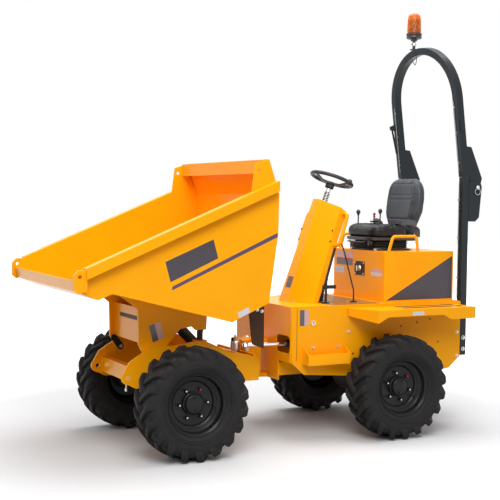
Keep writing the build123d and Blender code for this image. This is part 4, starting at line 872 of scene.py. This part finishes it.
def rear_face():
    """Louvres, round lamps and a blank number plate on the back of the rear body."""
    trim = Shell()
    back = at(-0.735)
    for row in range(6):
        z = 0.7 + row * 0.034
        trim.prism([(0, 0), (0.01, 0.002), (0.002, 0.02)], (back, -0.15, z), (-1, 0, 0),
                   (0, 0, 1), (0, 0.3, 0), 0)
    for side in (1, -1):
        place = np.array([back, side * 0.3, 0.82])
        trim.turned([(0, 0.02), (0.03, 0.018), (0.04, 0.01), (0.04, 0.0)], place, -AHEAD, 32, finish=1)
        trim.turned([(0.04, 0.012), (0.046, 0.012), (0.05, 0.006), (0.05, 0.0)], place, -AHEAD, 32)
        signal = place - [0, 0, 0.105]
        trim.turned([(0, 0.018), (0.022, 0.016), (0.03, 0.009), (0.03, 0.0)], signal, -AHEAD, 28, finish=2)
    trim.prism([(-0.13, 0.0), (0.13, 0.0), (0.13, 0.09), (-0.13, 0.09)], (back, 0, 0.93), (0, 1, 0),
               (0, 0, 1), (-0.003, 0, 0), 3)
    trim.build("rear_face_trim", "rear_chassis", "black_paint",
               [black_plastic, red_lens, amber_lens, pale_film], merge=False)


# ---------------------------------------------------------------- engine cover
def cover_trim():
    """Dark triangle on each side of the engine cover; labels and the isolator's key on its front."""
    trim = Shell()
    for side in (1, -1):
        face = side_face(side, COVER_SIDE)
        patch(trim, [face(-0.052, 1.012), face(-0.684, 1.352), face(-0.684, 1.012)], LEFT * side, 0)
        border = [face(-0.0345, 1.004), face(-0.691, 1.3575), face(-0.691, 1.004)]
        patch(trim, border, LEFT * side, 4, 0.0004)
    front = lambda y, z: spot(COVER_FRONT, y, z)
    for low, high, finish in (((-0.32, 1.315), (-0.08, 1.373), 2), ((-0.32, 1.26), (-0.08, 1.315), 1),
                              ((-0.34, 1.192), (-0.2, 1.247), 3), ((0.187, 1.224), (0.337, 1.252), 2),
                              ((0.187, 1.196), (0.337, 1.224), 3)):
        patch(trim, quad(front, low, high), AHEAD, finish)
    patch(trim, quad(front, (-0.32, 1.308), (-0.08, 1.316)), AHEAD, 5, 0.001)
    trim.build("cover_films", "engine_cover", "yellow_paint",
               [dark_film, grey_film, rose_film, pale_film, yellow_paint, red_paint], merge=False)
    isolator = Shell()
    isolator.prism([(-0.045, 1.19), (0.095, 1.19), (0.095, 1.3), (-0.045, 1.3)], (at(COVER_FRONT), 0, 0),
                   (0, 1, 0), (0, 0, 1), (0.004, 0, 0), 0)
    for y in (-0.034, 0.084):
        for z in (1.201, 1.289):
            bolt(isolator, spot(COVER_FRONT + 0.004, y, z), AHEAD, 0.005, 1)
    place = spot(COVER_FRONT + 0.004, 0.025, 1.245)
    isolator.turned([(0, 0.014), (0.012, 0.014), (0.02, 0.01), (0.024, 0.0)], place, AHEAD, 24, 1)
    isolator.prism(rectangle(0.005, 0.022), place + AHEAD * 0.013, (0, 1, 0), (0, 0, 1), (0.016, 0, 0), 1)
    isolator.build("battery_isolator", "engine_cover", "steel", [brown_and_shade_paint, bare_steel])


# ---------------------------------------------------------------- console and steering
def grab_handles():
    """Thick bent tube on each flank of the console."""
    for side, node in ((1, "console_handle_left"), (-1, "console_handle_right")):
        low, high = spot(0.34, 0, 1.44), spot(0.258, 0, 1.68)
        reach = np.linalg.norm(high - low)
        line = [(0, 0.238), (0, 0.272), (0.008, 0.292), (0.032, 0.301), (0.12, 0.298), (reach - 0.032, 0.292),
                (reach - 0.008, 0.283), (reach, 0.264), (reach, 0.229)]
        handle = Shell()
        path = smooth_line([low + unit(high - low) * rise + LEFT * side * y for rise, y in line], 6)
        handle.tube(path, 0.0145, 18, start=unit(high - low))
        handle.build(f"grab_{node}", "rear_chassis", "yellow_paint", [yellow_paint],
                     replaces=(node,), sharp=60)


def console_trim():
    """Blank label and screws on the console's nose, holes in its flanks as dark discs of painted shade,
    control rods beside it.
    """
    trim = Shell()
    height, foot_station, head_station = 0.8, 0.653, 0.367
    share = lambda z: (z - DECK_TOP) / height
    nose = lambda y, z: spot(foot_station + (head_station - foot_station) * share(z), y, z)
    out = unit([height, 0, 0.286])
    patch(trim, quad(nose, (-0.035, 1.105), (0.045, 1.19)), out, 0)
    for z in (1.056, 1.215, 1.62):
        bolt(trim, nose(0.0, z), out, 0.005, 1)
    for side in (1, -1):
        flank = lambda station, z: spot(station, side * (0.255 - 0.033 * share(z) + 0.0002), z)
        # Each flank hole is a thin dark brown disc: painted shade of its inside.
        for station, z in ((0.358, 1.551), (0.379, 1.47)):
            trim.turned([(0, 0.0008), (0.0062, 0.001), (0.0075, 0.0005)], flank(station, z),
                        LEFT * side, 16, finish=2)
        for station, z in ((0.34, 1.44), (0.258, 1.68)):
            trim.turned([(0.013, 0.004), (0.024, 0.004), (0.026, 0.002), (0.026, -0.002)], flank(station, z),
                        LEFT * side, 28, finish=3)
    trim.build("console_trim", "rear_chassis", "yellow_paint",
               [grey_film, bare_steel, brown_and_shade_paint, yellow_paint], merge=False)
    rods = Shell()
    bend = [spot(0.317, 0.262, 1.452), spot(0.317, 0.292, 1.452), spot(0.296, 0.302, 1.4),
            spot(0.216, 0.302, 1.14), spot(0.203, 0.302, 1.088), spot(0.202, 0.302, 1.001)]
    rods.tube(smooth_line(bend, 8), 0.0055, 12)
    strip = rectangle(0.01, 0.003)
    foot, knee, head = spot(0.452, 0.3, 1.001), spot(0.448, 0.3, 1.182), spot(0.376, 0.3, 1.42)
    for start, end in ((foot, knee), (knee, head)):
        aside = unit(np.cross(end - start, LEFT))
        rods.prism(strip, start, aside, LEFT, end - start)
    rods.slab(spot(0.425, 0.286, DECK_TOP), spot(0.48, 0.314, DECK_TOP + 0.012))
    rods.slab(spot(0.18, 0.29, DECK_TOP), spot(0.224, 0.314, DECK_TOP + 0.012))
    rods.slab(spot(0.335, 0.25, 1.108), spot(0.452, 0.262, 1.136))
    rods.build("control_rods", "rear_chassis", "black_paint", [black_paint], bevel=0.001)


LEAN = radians(20)
WHEEL_CENTRE = spot(0.226, 0, 1.948)
COLUMN_UP = np.array([-sin(LEAN), 0, cos(LEAN)])
WHEEL_RADIUS, WHEEL_GRIP, WHEEL_DISH = 0.178, 0.0145, 0.05


def steering_wheel():
    """Thick rim, three wide flat spokes dipping to the hub, and a turning knob on the rim.

    The rim is a tube along centre + radius * (left * cos(angle) + ahead * sin(angle)). A spoke is a flat
    six-sided section carried outwards, with a half width and a drop at each of six distances.
    """
    wheel = Shell()
    ahead = np.cross(COLUMN_UP, LEFT)
    turn = full_turn(96)[:, None]
    ring = WHEEL_CENTRE + (WHEEL_RADIUS - WHEEL_GRIP) * (LEFT * np.cos(turn) + ahead * np.sin(turn))
    wheel.tube(ring, WHEEL_GRIP, 20, closed=True, start=COLUMN_UP)
    for angle in (radians(90), radians(210), radians(330)):
        out = LEFT * cos(angle) - ahead * sin(angle)
        aside = np.cross(COLUMN_UP, out)
        reach = np.array([0.02, 0.045, 0.08, 0.12, 0.152, 0.166])
        drop = np.array([-WHEEL_DISH + 0.01, -WHEEL_DISH + 0.009, -0.034, -0.016, -0.004, 0.0])
        half = np.array([0.03, 0.027, 0.02, 0.017, 0.019, 0.026])
        middle = WHEEL_CENTRE + reach[:, None] * out + drop[:, None] * COLUMN_UP
        section = [(-1.0, 0.0), (-0.92, 0.004), (0.92, 0.004), (1.0, 0.0), (0.92, -0.004), (-0.92, -0.004)]
        skin = np.stack([middle + half[:, None] * a * aside + b * COLUMN_UP for a, b in section], 1)
        wheel.grid(skin, wrap_v=True, flip=True)
    hub = [(0.034, -WHEEL_DISH - 0.022), (0.035, -WHEEL_DISH + 0.004), (0.044, -WHEEL_DISH + 0.008),
           (0.045, -WHEEL_DISH + 0.018), (0.04, -WHEEL_DISH + 0.024), (0.03, -WHEEL_DISH + 0.028),
           (0, -WHEEL_DISH + 0.03)]
    wheel.turned(hub[::-1], WHEEL_CENTRE, COLUMN_UP, 36)
    knob_foot = WHEEL_CENTRE + (WHEEL_RADIUS - WHEEL_GRIP) * ahead
    knob = [(0.0, 0.064), (0.01, 0.062), (0.018, 0.054), (0.02, 0.043), (0.017, 0.033),
            (0.01, 0.027), (0.009, 0.0)]
    wheel.turned(knob, knob_foot, COLUMN_UP, 28)
    wheel.build("steering_wheel_grip", "steering_wheel", "plastic", [wheel_plastic], sharp=50,
                replaces=("steering_wheel",))


def column_spring():
    """Coiled cable round the bright steering column.

    A tube along a helix: the circle's angle runs through all the coils, and the rise grows with it.
    """
    coil = Shell()
    coils = 15
    turn = np.linspace(0, 2 * pi * coils, 18 * coils)
    foot = WHEEL_CENTRE - COLUMN_UP * 0.3
    aside = np.cross(COLUMN_UP, LEFT)
    rise = turn / turn[-1] * 0.19
    round_column = np.cos(turn)[:, None] * LEFT + np.sin(turn)[:, None] * aside
    path = foot + rise[:, None] * COLUMN_UP + 0.0205 * round_column
    coil.tube(path, 0.0028, 6)
    coil.build("column_spring", "rear_chassis", "rubber", [black_plastic], merge=False)


# ---------------------------------------------------------------- seat
def stitched(piece, lines, depth, width, axis):
    """Sinks a soft skin along lines seen down an axis, by depth * exp(-(distance / width) ** 2)."""
    mesh = piece.data
    points, normals = read(mesh, "co"), read(mesh, "normal")
    flat = np.delete(np.arange(3), axis)
    where = points[:, flat]
    nearest = np.full(len(points), 9.0)
    for line in lines:
        line = np.asarray(line, float)
        for start, end in zip(line[:-1], line[1:]):
            along = end - start
            share = np.clip(((where - start) @ along) / (along @ along), 0, 1)
            nearest = np.minimum(nearest, np.linalg.norm(where - start - share[:, None] * along, axis=1))
    facing = np.clip(normals[:, axis] * 1.6, 0, 1)
    points -= normals * (depth * np.exp(-(nearest / width) ** 2) * facing)[:, None]
    mesh.vertices.foreach_set("co", points.reshape(-1))
    mesh.update()


CLOTH_STEPS, CLOTH_PRESSURE = 20, 4.0


def inflated(piece, voxel, furthest):
    """Swells a closed skin by cloth pressure, moving no point further than the cap, and smooths it once."""
    remesh = piece.modifiers.new("even_skin", "REMESH")
    remesh.mode, remesh.voxel_size = "VOXEL", voxel
    applied(piece)
    start = read(piece.data, "co")
    cloth = piece.modifiers.new("stuffing", "CLOTH")
    cloth.settings.use_pressure = True
    cloth.settings.uniform_pressure_force = CLOTH_PRESSURE
    cloth.settings.effector_weights.gravity = 0.0
    cloth.settings.quality = 5
    scene = bpy.context.scene
    for step in range(1, CLOTH_STEPS + 1):
        scene.frame_set(step)
    applied(piece)
    scene.frame_set(1)
    move = read(piece.data, "co") - start
    length = np.linalg.norm(move, axis=1, keepdims=True)
    capped = start + move * np.minimum(1, furthest / np.maximum(length, 1e-9))
    piece.data.vertices.foreach_set("co", capped.reshape(-1))
    finer = piece.modifiers.new("finer", "SUBSURF")
    finer.levels = finer.render_levels = 1
    applied(piece)


def applied(piece):
    """Bakes a piece's modifiers into its mesh."""
    bpy.context.view_layer.update()
    seen = piece.evaluated_get(bpy.context.evaluated_depsgraph_get())
    mesh = bpy.data.meshes.new_from_object(seen)
    piece.modifiers.clear()
    piece.data = mesh


SEAM_DEPTH, SEAM_WIDTH, SEAT_FILL = 0.0065, 0.006, 0.8


def padded_piece(shell, name, node, finish, voxel, furthest, lines, axis):
    """A cushion swollen from a slightly smaller shape, with its sewn lines sunk in afterwards."""
    mesh = shell.mesh(name)
    piece = linked(name, mesh)
    tidy_mesh(mesh, DOUBLES, outward=True)
    inflated(piece, voxel, furthest)
    stitched(piece, lines, SEAM_DEPTH, SEAM_WIDTH, axis)
    piece.data.materials.clear()
    piece.data.materials.append(finish)
    finish_piece(piece, body_of_node[node], sharp=80)
    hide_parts(node)


CUSHION_FRONT, CUSHION_REAR, CUSHION_FOOT = -0.022, -0.398, 1.4985
BACK_FOOT, BACK_HEAD = spot(-0.45, 0, 1.478), spot(-0.508, 0, 1.985)


def seat_cushion():
    """Crowned cushion with raised side bolsters, a front roll and sewn lines.

    Its skin is superellipse rings. On top, 0.01 * exp(-((|y| - 0.185) / 0.04) ** 2) lifts the bolsters,
    0.012 * exp(-(y / 0.12) ** 2) sinks the middle and 0.01 * (x / half length) ** 2 the ends.
    """
    shell = Shell()
    middle = spot((CUSHION_FRONT + CUSHION_REAR) / 2, 0, CUSHION_FOOT)
    reach = (CUSHION_FRONT - CUSHION_REAR) / 2
    rings = [(reach - 0.034, 0.196, 0.002), (reach - 0.014, 0.224, 0.008), (reach - 0.007, 0.231, 0.03),
             (reach - 0.009, 0.229, 0.058), (reach - 0.02, 0.218, 0.078), (reach - 0.05, 0.19, 0.088),
             (reach - 0.09, 0.14, 0.087), (reach - 0.13, 0.08, 0.085)]
    skin = superellipse(middle, rings, 4.5, 72)
    y = skin[..., 1]
    x = skin[..., 0] - middle[0]
    height = skin[..., 2] - middle[2]
    bolster = np.exp(-((np.abs(y) - 0.185) / 0.04) ** 2) * 0.01 - np.exp(-(y / 0.12) ** 2) * 0.012
    skin[..., 2] += np.where(height > 0.05, bolster - 0.01 * (x / reach) ** 2, 0)
    shell.grid(skin, wrap_v=True, flip=True)
    shell.cap(skin[0], flip=True).cap(skin[-1])
    front, rear = at(CUSHION_FRONT), at(CUSHION_REAR)
    lines = [[(rear + 0.02, side * 0.135), (front - 0.085, side * 0.145)] for side in (1, -1)]
    lines += [[(front - 0.085, -0.225), (front - 0.085, 0.225)]]
    lines += [[(place, -0.135), (place, 0.135)] for place in (rear + 0.095, rear + 0.19)]
    padded_piece(shell, "vinyl_cushion", "seat_cushion", shade_darkened_vinyl, 0.006, 0.01, lines, 2)


def seat_backrest():
    """Backrest that widens to its shoulders and closes in a round top, thicker at its edges.

    Aside is half width * cos(angle), and depth is the front or rear distance * sin(angle), where the size
    of each cosine and sine is raised to 0.55 and its sign is kept. Bolsters as on the cushion add to the
    front distance.
    """
    shell = Shell()
    lean = unit(BACK_HEAD - BACK_FOOT)
    out = np.cross(LEFT, lean)
    rows = [  # height along the back, half width, how far the front and the rear stand from the middle
        (0.024, 0.148, 0.036, 0.036), (0.05, 0.16, 0.043, 0.041), (0.11, 0.174, 0.046, 0.043),
        (0.17, 0.206, 0.047, 0.043), (0.225, 0.23, 0.047, 0.043), (0.29, 0.2345, 0.047, 0.043),
        (0.35, 0.232, 0.046, 0.043), (0.41, 0.218, 0.044, 0.042), (0.455, 0.19, 0.04, 0.04),
        (0.486, 0.15, 0.032, 0.034), (0.5, 0.108, 0.02, 0.026),
    ]
    height, half, front, rear = (column[:, None] for column in smooth_line(rows, 3).T)
    turn = full_turn(64)[None]
    round_y = np.sign(np.cos(turn)) * np.abs(np.cos(turn)) ** 0.55
    round_x = np.sign(np.sin(turn)) * np.abs(np.sin(turn)) ** 0.55
    aside = half * round_y
    bolster = 0.014 * np.exp(-((np.abs(aside) - 0.185) / 0.035) ** 2) - 0.012 * np.exp(-(aside / 0.12) ** 2)
    depth = np.where(round_x > 0, (front + bolster) * round_x, rear * round_x)
    skin = BACK_FOOT + height[..., None] * lean + aside[..., None] * LEFT + depth[..., None] * out
    shell.grid(skin, wrap_v=True)
    shell.cap(skin[0]).cap(skin[-1], flip=True)
    inner = [(-0.13, 1.53), (-0.14, 1.66), (-0.165, 1.8), (-0.13, 1.925), (0.13, 1.925), (0.165, 1.8),
             (0.14, 1.66), (0.13, 1.53)]
    lines = [inner, [(-0.158, 1.8), (0.158, 1.8)], [(-0.15, 1.835), (0.15, 1.835)],
             [(-0.138, 1.64), (0.138, 1.64)]]
    padded_piece(shell, "vinyl_backrest", "seat_back", seat_vinyl, 0.007, 0.009, lines, 0)


def seat_mount():
    """Pan, folded bellows, slide rails, weight knob and lever under the seat; its belt and buckle."""
    mount = Shell()
    middle = spot(-0.25, 0, COVER_TOP)
    rings = [(0.19, 0.19, 0.001), (0.19, 0.19, 0.012), (0.172, 0.174, 0.016)]
    for fold in range(4):
        low = 0.018 + fold * 0.014
        rings += [(0.158, 0.162, low), (0.172, 0.176, low + 0.005), (0.172, 0.176, low + 0.008),
                  (0.158, 0.162, low + 0.013)]
    stacked(mount, middle, rings, 6.0, 72, 0)
    pan = spot(-0.264, 0, COVER_TOP)
    stacked(mount, pan, [(0.226, 0.2, 0.077), (0.24, 0.213, 0.084), (0.241, 0.214, 0.104),
                         (0.234, 0.208, 0.1075)], 6.0, 72, 1)
    for side in (1, -1):
        low_y, high_y = sorted((side * 0.15, side * 0.175))
        mount.slab(spot(-0.43, low_y, COVER_TOP + 0.0005), spot(-0.075, high_y, COVER_TOP + 0.016), 2)
    mount.turned([(0, 0.03), (0.016, 0.029), (0.021, 0.025), (0.022, 0.008), (0.015, 0.004), (0.008, 0.0)],
                 spot(-0.06, 0.15, COVER_TOP + 0.062), AHEAD, 24, 1)
    bar = [spot(-0.03, -0.11, 1.462), spot(-0.012, -0.11, 1.458), spot(-0.006, -0.095, 1.456),
           spot(-0.006, 0.095, 1.456), spot(-0.012, 0.11, 1.458), spot(-0.03, 0.11, 1.462)]
    mount.tube(smooth_line(bar, 5), 0.005, 10, 1)
    mount.build("seat_mount", body_of_node["seat_base"], "plastic",
                [bellows_rubber, black_plastic, bare_steel], replaces=("seat_base",), sharp=45)
    belt = Shell()
    for side in (1, -1):
        route = [spot(-0.438, side * 0.236, 1.5), spot(-0.43, side * 0.247, 1.56),
                 spot(-0.405, side * 0.246, 1.604),
                 spot(-0.36, side * 0.225, 1.618), spot(-0.3, side * 0.185, 1.617)]
        path = smooth_line(route, 6)
        ahead = unit(np.gradient(path, axis=0))
        across = unit(np.cross(ahead, unit(np.cross(ahead, unit(np.array([0.4, -side * 0.2, 1.0]))))))
        wide, thick = 0.022, 0.0013
        lift = unit(np.cross(ahead, across))
        skin = np.stack([path + a * wide * across + b * thick * lift for a, b in rectangle(1, 1)], 1)
        belt.grid(skin, wrap_v=True, finish=0)
        belt.cap(skin[0]).cap(skin[-1], flip=True)
    belt.slab(spot(-0.33, 0.15, 1.606), spot(-0.255, 0.196, 1.624), 1)
    belt.slab(spot(-0.318, 0.16, 1.624), spot(-0.29, 0.186, 1.626), 2)
    belt.slab(spot(-0.33, -0.196, 1.606), spot(-0.275, -0.158, 1.62), 1)
    belt.build("lap_belt", body_of_node["seat_base"], "vinyl", [webbing, black_plastic, red_paint], sharp=60)


def levers():
    """Lever box with its folded gaiters, painted stems and ball knobs; the middle lever is short and red.

    A knob is an arc turned about its stem: its radius is size * sin(angle), and its height above the
    stem's reach is 1.15 * size * cos(angle).
    """
    group = Shell()
    y = -0.297
    group.slab(spot(-0.495, y - 0.027, COVER_TOP + 0.0003), spot(-0.165, y + 0.027, COVER_TOP + 0.062), 0)
    for station, knob, look in ((-0.225, 1.69, 1), (-0.385, 1.672, 3), (-0.445, 1.698, 1)):
        foot = spot(station, y, COVER_TOP + 0.06)
        gaiter = [(0.0235, 0.0), (0.0235, 0.006), (0.018, 0.011), (0.02, 0.016), (0.014, 0.021),
                  (0.016, 0.026), (0.008, 0.034)]
        group.turned(gaiter[::-1], foot, UP, 24, 2)
        reach = knob - foot[2]
        group.turned([(0.0055, reach - 0.01), (0.0055, 0.02)], foot, UP, 14, 3 if look == 3 else 0)
        turn = np.linspace(0, pi * 0.9, 12)
        size = 0.012 if look == 3 else 0.018
        ball = np.stack([size * np.sin(turn), reach + size * 1.15 * np.cos(turn)], 1)
        group.turned(ball, foot, UP, 28, look)
        group.turned([(0.009, reach - 0.015), (0.01, reach - 0.026), (0.0055, reach - 0.027)],
                     foot, UP, 20, 1)
    group.build("hand_levers", body_of_node["control_levers"], "plastic",
                [black_paint, black_plastic, bellows_rubber, red_paint],
                replaces=("control_levers",), sharp=45)


# ---------------------------------------------------------------- roll hoop and beacon
HOOP_FOOT = spot(-0.757, 0, 1.98)
HOOP_LEAN = radians(7.5)
HOOP_UP = np.array([sin(HOOP_LEAN), 0, cos(HOOP_LEAN)])
HOOP_AHEAD = np.array([cos(HOOP_LEAN), 0, -sin(HOOP_LEAN)])
CABLE_RADIUS = 0.0035
BEACON = spot(-0.623, -0.11, 3.174)


def hoop_trim():
    """Locking pins and rings, thin cables up the legs, joint pads, a strut and the beacon's wire loop."""
    trim = Shell()
    posts = Shell()
    for side in (1, -1):
        out = LEFT * side
        pin = spot(-0.865, side * 0.384, 1.9)
        posts.turned([(0, 0.078), (0.012, 0.078), (0.016, 0.074), (0.016, 0.062), (0.012, 0.06)],
                     pin, out, 20, 0)
        posts.turned([(0.012, -0.004), (0.016, -0.004), (0.016, -0.014), (0, -0.016)][::-1], pin, out, 20, 0)
        ring = full_turn(28)[:, None]
        hoop_ring = spot(-0.865, side * 0.452, 1.868) + 0.026 * (UP * np.cos(ring) + AHEAD * np.sin(ring))
        posts.tube(hoop_ring, 0.0022, 8, 0, closed=True)
        for z in (0.61, 0.7):
            bolt(posts, spot(-0.757, side * 0.44, z), out, 0.011, 0)
        cable = [spot(-0.719, side * 0.398, z) for z in (1.015, 1.2, 1.45, 1.7, 1.93)]
        posts.tube(smooth_line(cable, 3), CABLE_RADIUS, 8, 1)
        for z in (1.18, 1.5, 1.8):
            posts.slab(spot(-0.724, side * 0.398 - 0.007, z - 0.006),
                       spot(-0.713, side * 0.398 + 0.007, z + 0.006), 1)
        leg = HOOP_FOOT + LEFT * side * 0.398
        line = [leg + HOOP_UP * rise + [0.0355 / cos(HOOP_LEAN), 0, 0] for rise in (0.05, 0.25, 0.45, 0.6)]
        trim.tube(smooth_line(line, 3), CABLE_RADIUS, 8, 1)
        for rise in (0.12, 0.36, 0.56):
            bolt(trim, leg + HOOP_UP * rise + HOOP_AHEAD * 0.032, HOOP_AHEAD, 0.005, 0)
        bracket = HOOP_FOOT + LEFT * side * 0.44 + HOOP_UP * 0.41
        trim.prism(rectangle(0.022, 0.04), bracket, HOOP_AHEAD, HOOP_UP, LEFT * side * 0.006, 2)
        trim.slab(spot(-0.7885, side * 0.412 - 0.0275, 1.9812),
                  spot(-0.7255, side * 0.412 + 0.0275, 1.9925), 2)
    leg = HOOP_FOOT - LEFT * 0.412 + HOOP_AHEAD * 0.032
    trim.tube([leg + HOOP_UP * 0.22 + HOOP_AHEAD * 0.012, leg + HOOP_UP * 0.44 + HOOP_AHEAD * 0.04],
              0.008, 14, 3)
    trim.prism([(0.0, 0.41), (0.055, 0.425), (0.055, 0.455), (0.0, 0.47)], leg - LEFT * 0.01, HOOP_AHEAD,
               HOOP_UP, LEFT * 0.02, 2)
    arm = BEACON + [0.0, 0.0, -0.128]
    loop = [arm + [0.012, 0.01, 0.0], arm + [0.03, 0.045, -0.03], arm + [0.034, 0.085, -0.085],
            arm + [0.034, 0.07, -0.14], arm + [0.036, 0.03, -0.1]]
    trim.tube(smooth_line(loop, 8), 0.003, 8, 3)
    trim.build("hoop_trim", "roll_hoop", "dark_paint", [bare_steel, grey_cable, slate_paint, black_rubber],
               merge=False)
    posts.build("post_trim", "rear_chassis", "dark_paint", [bare_steel, grey_cable], merge=False)


def beacon():
    """Ribbed amber dome over its reflector, on a collar and a clamped stem.

    The dome's radius is its profile's less depth * (0.5 + 0.5 * cos(ribs * angle)), with depth only on
    its upright wall.
    """
    dome, base = Shell(), Shell()
    foot = BEACON + UP * 0.0005
    ribs, sides = 36, 144
    turn = full_turn(sides)[None, :, None]
    profile = smooth_line([(0.0575, 0.0), (0.057, 0.03), (0.0555, 0.08), (0.053, 0.118), (0.046, 0.145),
                           (0.032, 0.158), (0.014, 0.1625), (0.0005, 0.163)], 4)
    depth = np.where((profile[:, 1] > 0.012) & (profile[:, 1] < 0.12), 0.0016, 0.0)[:, None, None]
    radius = profile[:, 0][:, None, None] - depth * (0.5 + 0.5 * np.cos(turn * ribs))
    skin = foot + radius * (AHEAD * np.cos(turn) + LEFT * np.sin(turn)) + profile[:, 1][:, None, None] * UP
    dome.grid(skin, wrap_v=True, flip=True)
    dome.cap(skin[0], flip=True)
    dome.build("ribbed_dome", "roll_hoop", "amber", [amber_lens], replaces=("beacon_lens",), sharp=70)
    collar = [(0.0, 0.0), (0.0555, 0.0), (0.064, -0.004), (0.0655, -0.01), (0.064, -0.016), (0.06, -0.018),
              (0.062, -0.022), (0.064, -0.038), (0.056, -0.0455), (0.03, -0.047), (0.026, -0.062),
              (0.0125, -0.066), (0.0125, -0.128), (0, -0.128)]
    base.turned(collar, BEACON, UP, 48, 0)
    base.turned([(0.0125, -0.078), (0.019, -0.08), (0.02, -0.1), (0.0125, -0.102)], BEACON, UP, 24, 1)
    reflector = [(0.0, 0.12), (0.018, 0.118), (0.034, 0.105), (0.034, 0.07), (0.026, 0.064), (0.026, 0.04),
                 (0.036, 0.034), (0.036, 0.003)]
    base.turned(reflector, foot, UP, 32, 2)
    base.slab(BEACON + [-0.024, -0.022, -0.1375], BEACON + [0.024, 0.022, -0.128], 0)
    bolt(base, BEACON + [0.0195, 0, -0.09], AHEAD, 0.006, 1)
    base.build("beacon_collar", "roll_hoop", "plastic", [black_plastic, bare_steel, brown_and_shade_paint],
               replaces=("beacon_base",), sharp=45)


for dress in (skip_trim, bracket_trim, front_chassis_trim, pivot_trim, body_trim, tread_plate,
              anti_slip_strips, rear_face, cover_trim, grab_handles, console_trim, steering_wheel,
              column_spring, seat_cushion, seat_backrest, seat_mount, levers, hoop_trim, beacon):
    dress()


# ---------------------------------------------------------------- floor, light and camera
FLOOR_SIZE, SHADOW_REACH, GLOW_REACH = 60, 2.4, 5.5    # the floor turns white between the two reaches
FLOOR_GREY, FLOOR_BRIGHT = 0.38, 0.66


def pale_floor():
    """A wide floor: plain rays see it white outside the object's shadow, and light meets pale grey."""
    bpy.ops.mesh.primitive_plane_add(size=FLOOR_SIZE, location=(0, 0, -0.0005))
    floor = bpy.context.object
    floor.name = "floor"
    finish = Finish("pale_floor", (FLOOR_GREY,) * 3, 1.0, specular_ior_level=0.0)
    bright = finish.node("BsdfDiffuse", None, {"Color": (FLOOR_BRIGHT,) * 3 + (1,)})
    distance = finish.node("VectorMath", {"operation": "LENGTH"}, {0: finish.place()}, out=1)
    far = finish.ramp(distance, SHADOW_REACH, GLOW_REACH)
    glow = finish.node("Emission", None, {"Color": (1, 1, 1, 1), "Strength": far})
    lit = finish.node("AddShader", None, {0: bright, 1: glow})
    grey = Wire(finish, finish.shader.outputs[0])
    mixed = finish.node("MixShader", None, {0: finish.plain_rays(), 1: grey, 2: lit})
    finish.join(mixed, finish.tree.nodes["Material Output"].inputs["Surface"])
    floor.data.materials.append(finish.material)


def soft_sky():
    """A pale sky, brighter overhead, that lights the object; plain rays see it white."""
    world = bpy.data.worlds.new("soft_sky")
    bpy.context.scene.world = world
    world.use_nodes = True
    graph = Graph(world.node_tree)
    sky = world.node_tree.nodes["Background"]
    height = graph.node("SeparateXYZ", None, {0: graph.node("TexCoord", out="Generated")}, out="Z")
    strength = {"Value": height, "From Min": 0.0, "From Max": 0.7, "To Min": 0.26, "To Max": 0.9}
    graph.join((0.95, 0.97, 1.0, 1), sky.inputs["Color"])
    graph.join(graph.node("MapRange", None, strength), sky.inputs["Strength"])
    white = graph.node("Background", None, {"Color": (1, 1, 1, 1), "Strength": 1.0})
    mixed = graph.node("MixShader", None, {0: graph.plain_rays(), 1: Wire(graph, sky.outputs[0]), 2: white})
    graph.join(mixed, world.node_tree.nodes["World Output"].inputs["Surface"])


def lamp(name, place, target, size, watts):
    """A square soft light that looks at a target."""
    light = bpy.data.lights.new(name, "AREA")
    light.size, light.energy = size, watts
    holder = linked(name, light)
    holder.location = place
    holder.rotation_euler = (Vector(target) - Vector(place)).to_track_quat("-Z", "Y").to_euler()


pale_floor()
soft_sky()
lamp("key_light", (2.8, 5.6, 6.2), (0, 0, 0.9), 4.0, 400)
lamp("top_light", (-0.6, -0.6, 7.0), (0, 0, 0.5), 5.0, 400)

CAMERA_STATION, CAMERA_Y, CAMERA_Z = 4.71512, 7.1848, 1.77443
CAMERA_YAW, CAMERA_PITCH, CAMERA_ROLL = -2.0538135, -0.0463034, 0.0123082
CAMERA_LENS, SENSOR_WIDTH = 76.944, 36.0
look = Vector((cos(CAMERA_PITCH) * cos(CAMERA_YAW), cos(CAMERA_PITCH) * sin(CAMERA_YAW), sin(CAMERA_PITCH)))
right = look.cross(Vector((0, 0, 1))).normalized()
top = right.cross(look)
camera_x = right * cos(CAMERA_ROLL) + top * sin(CAMERA_ROLL)
camera_y = top * cos(CAMERA_ROLL) - right * sin(CAMERA_ROLL)
camera_data = bpy.data.cameras.new("camera")
camera_data.lens, camera_data.sensor_width = CAMERA_LENS, SENSOR_WIDTH
camera = linked("camera", camera_data)
camera.matrix_world = Matrix((
    (camera_x.x, camera_y.x, -look.x, at(CAMERA_STATION)),
    (camera_x.y, camera_y.y, -look.y, CAMERA_Y),
    (camera_x.z, camera_y.z, -look.z, CAMERA_Z),
    (0, 0, 0, 1),
))
bpy.context.scene.camera = camera
bpy.context.scene.view_settings.view_transform = "Standard"
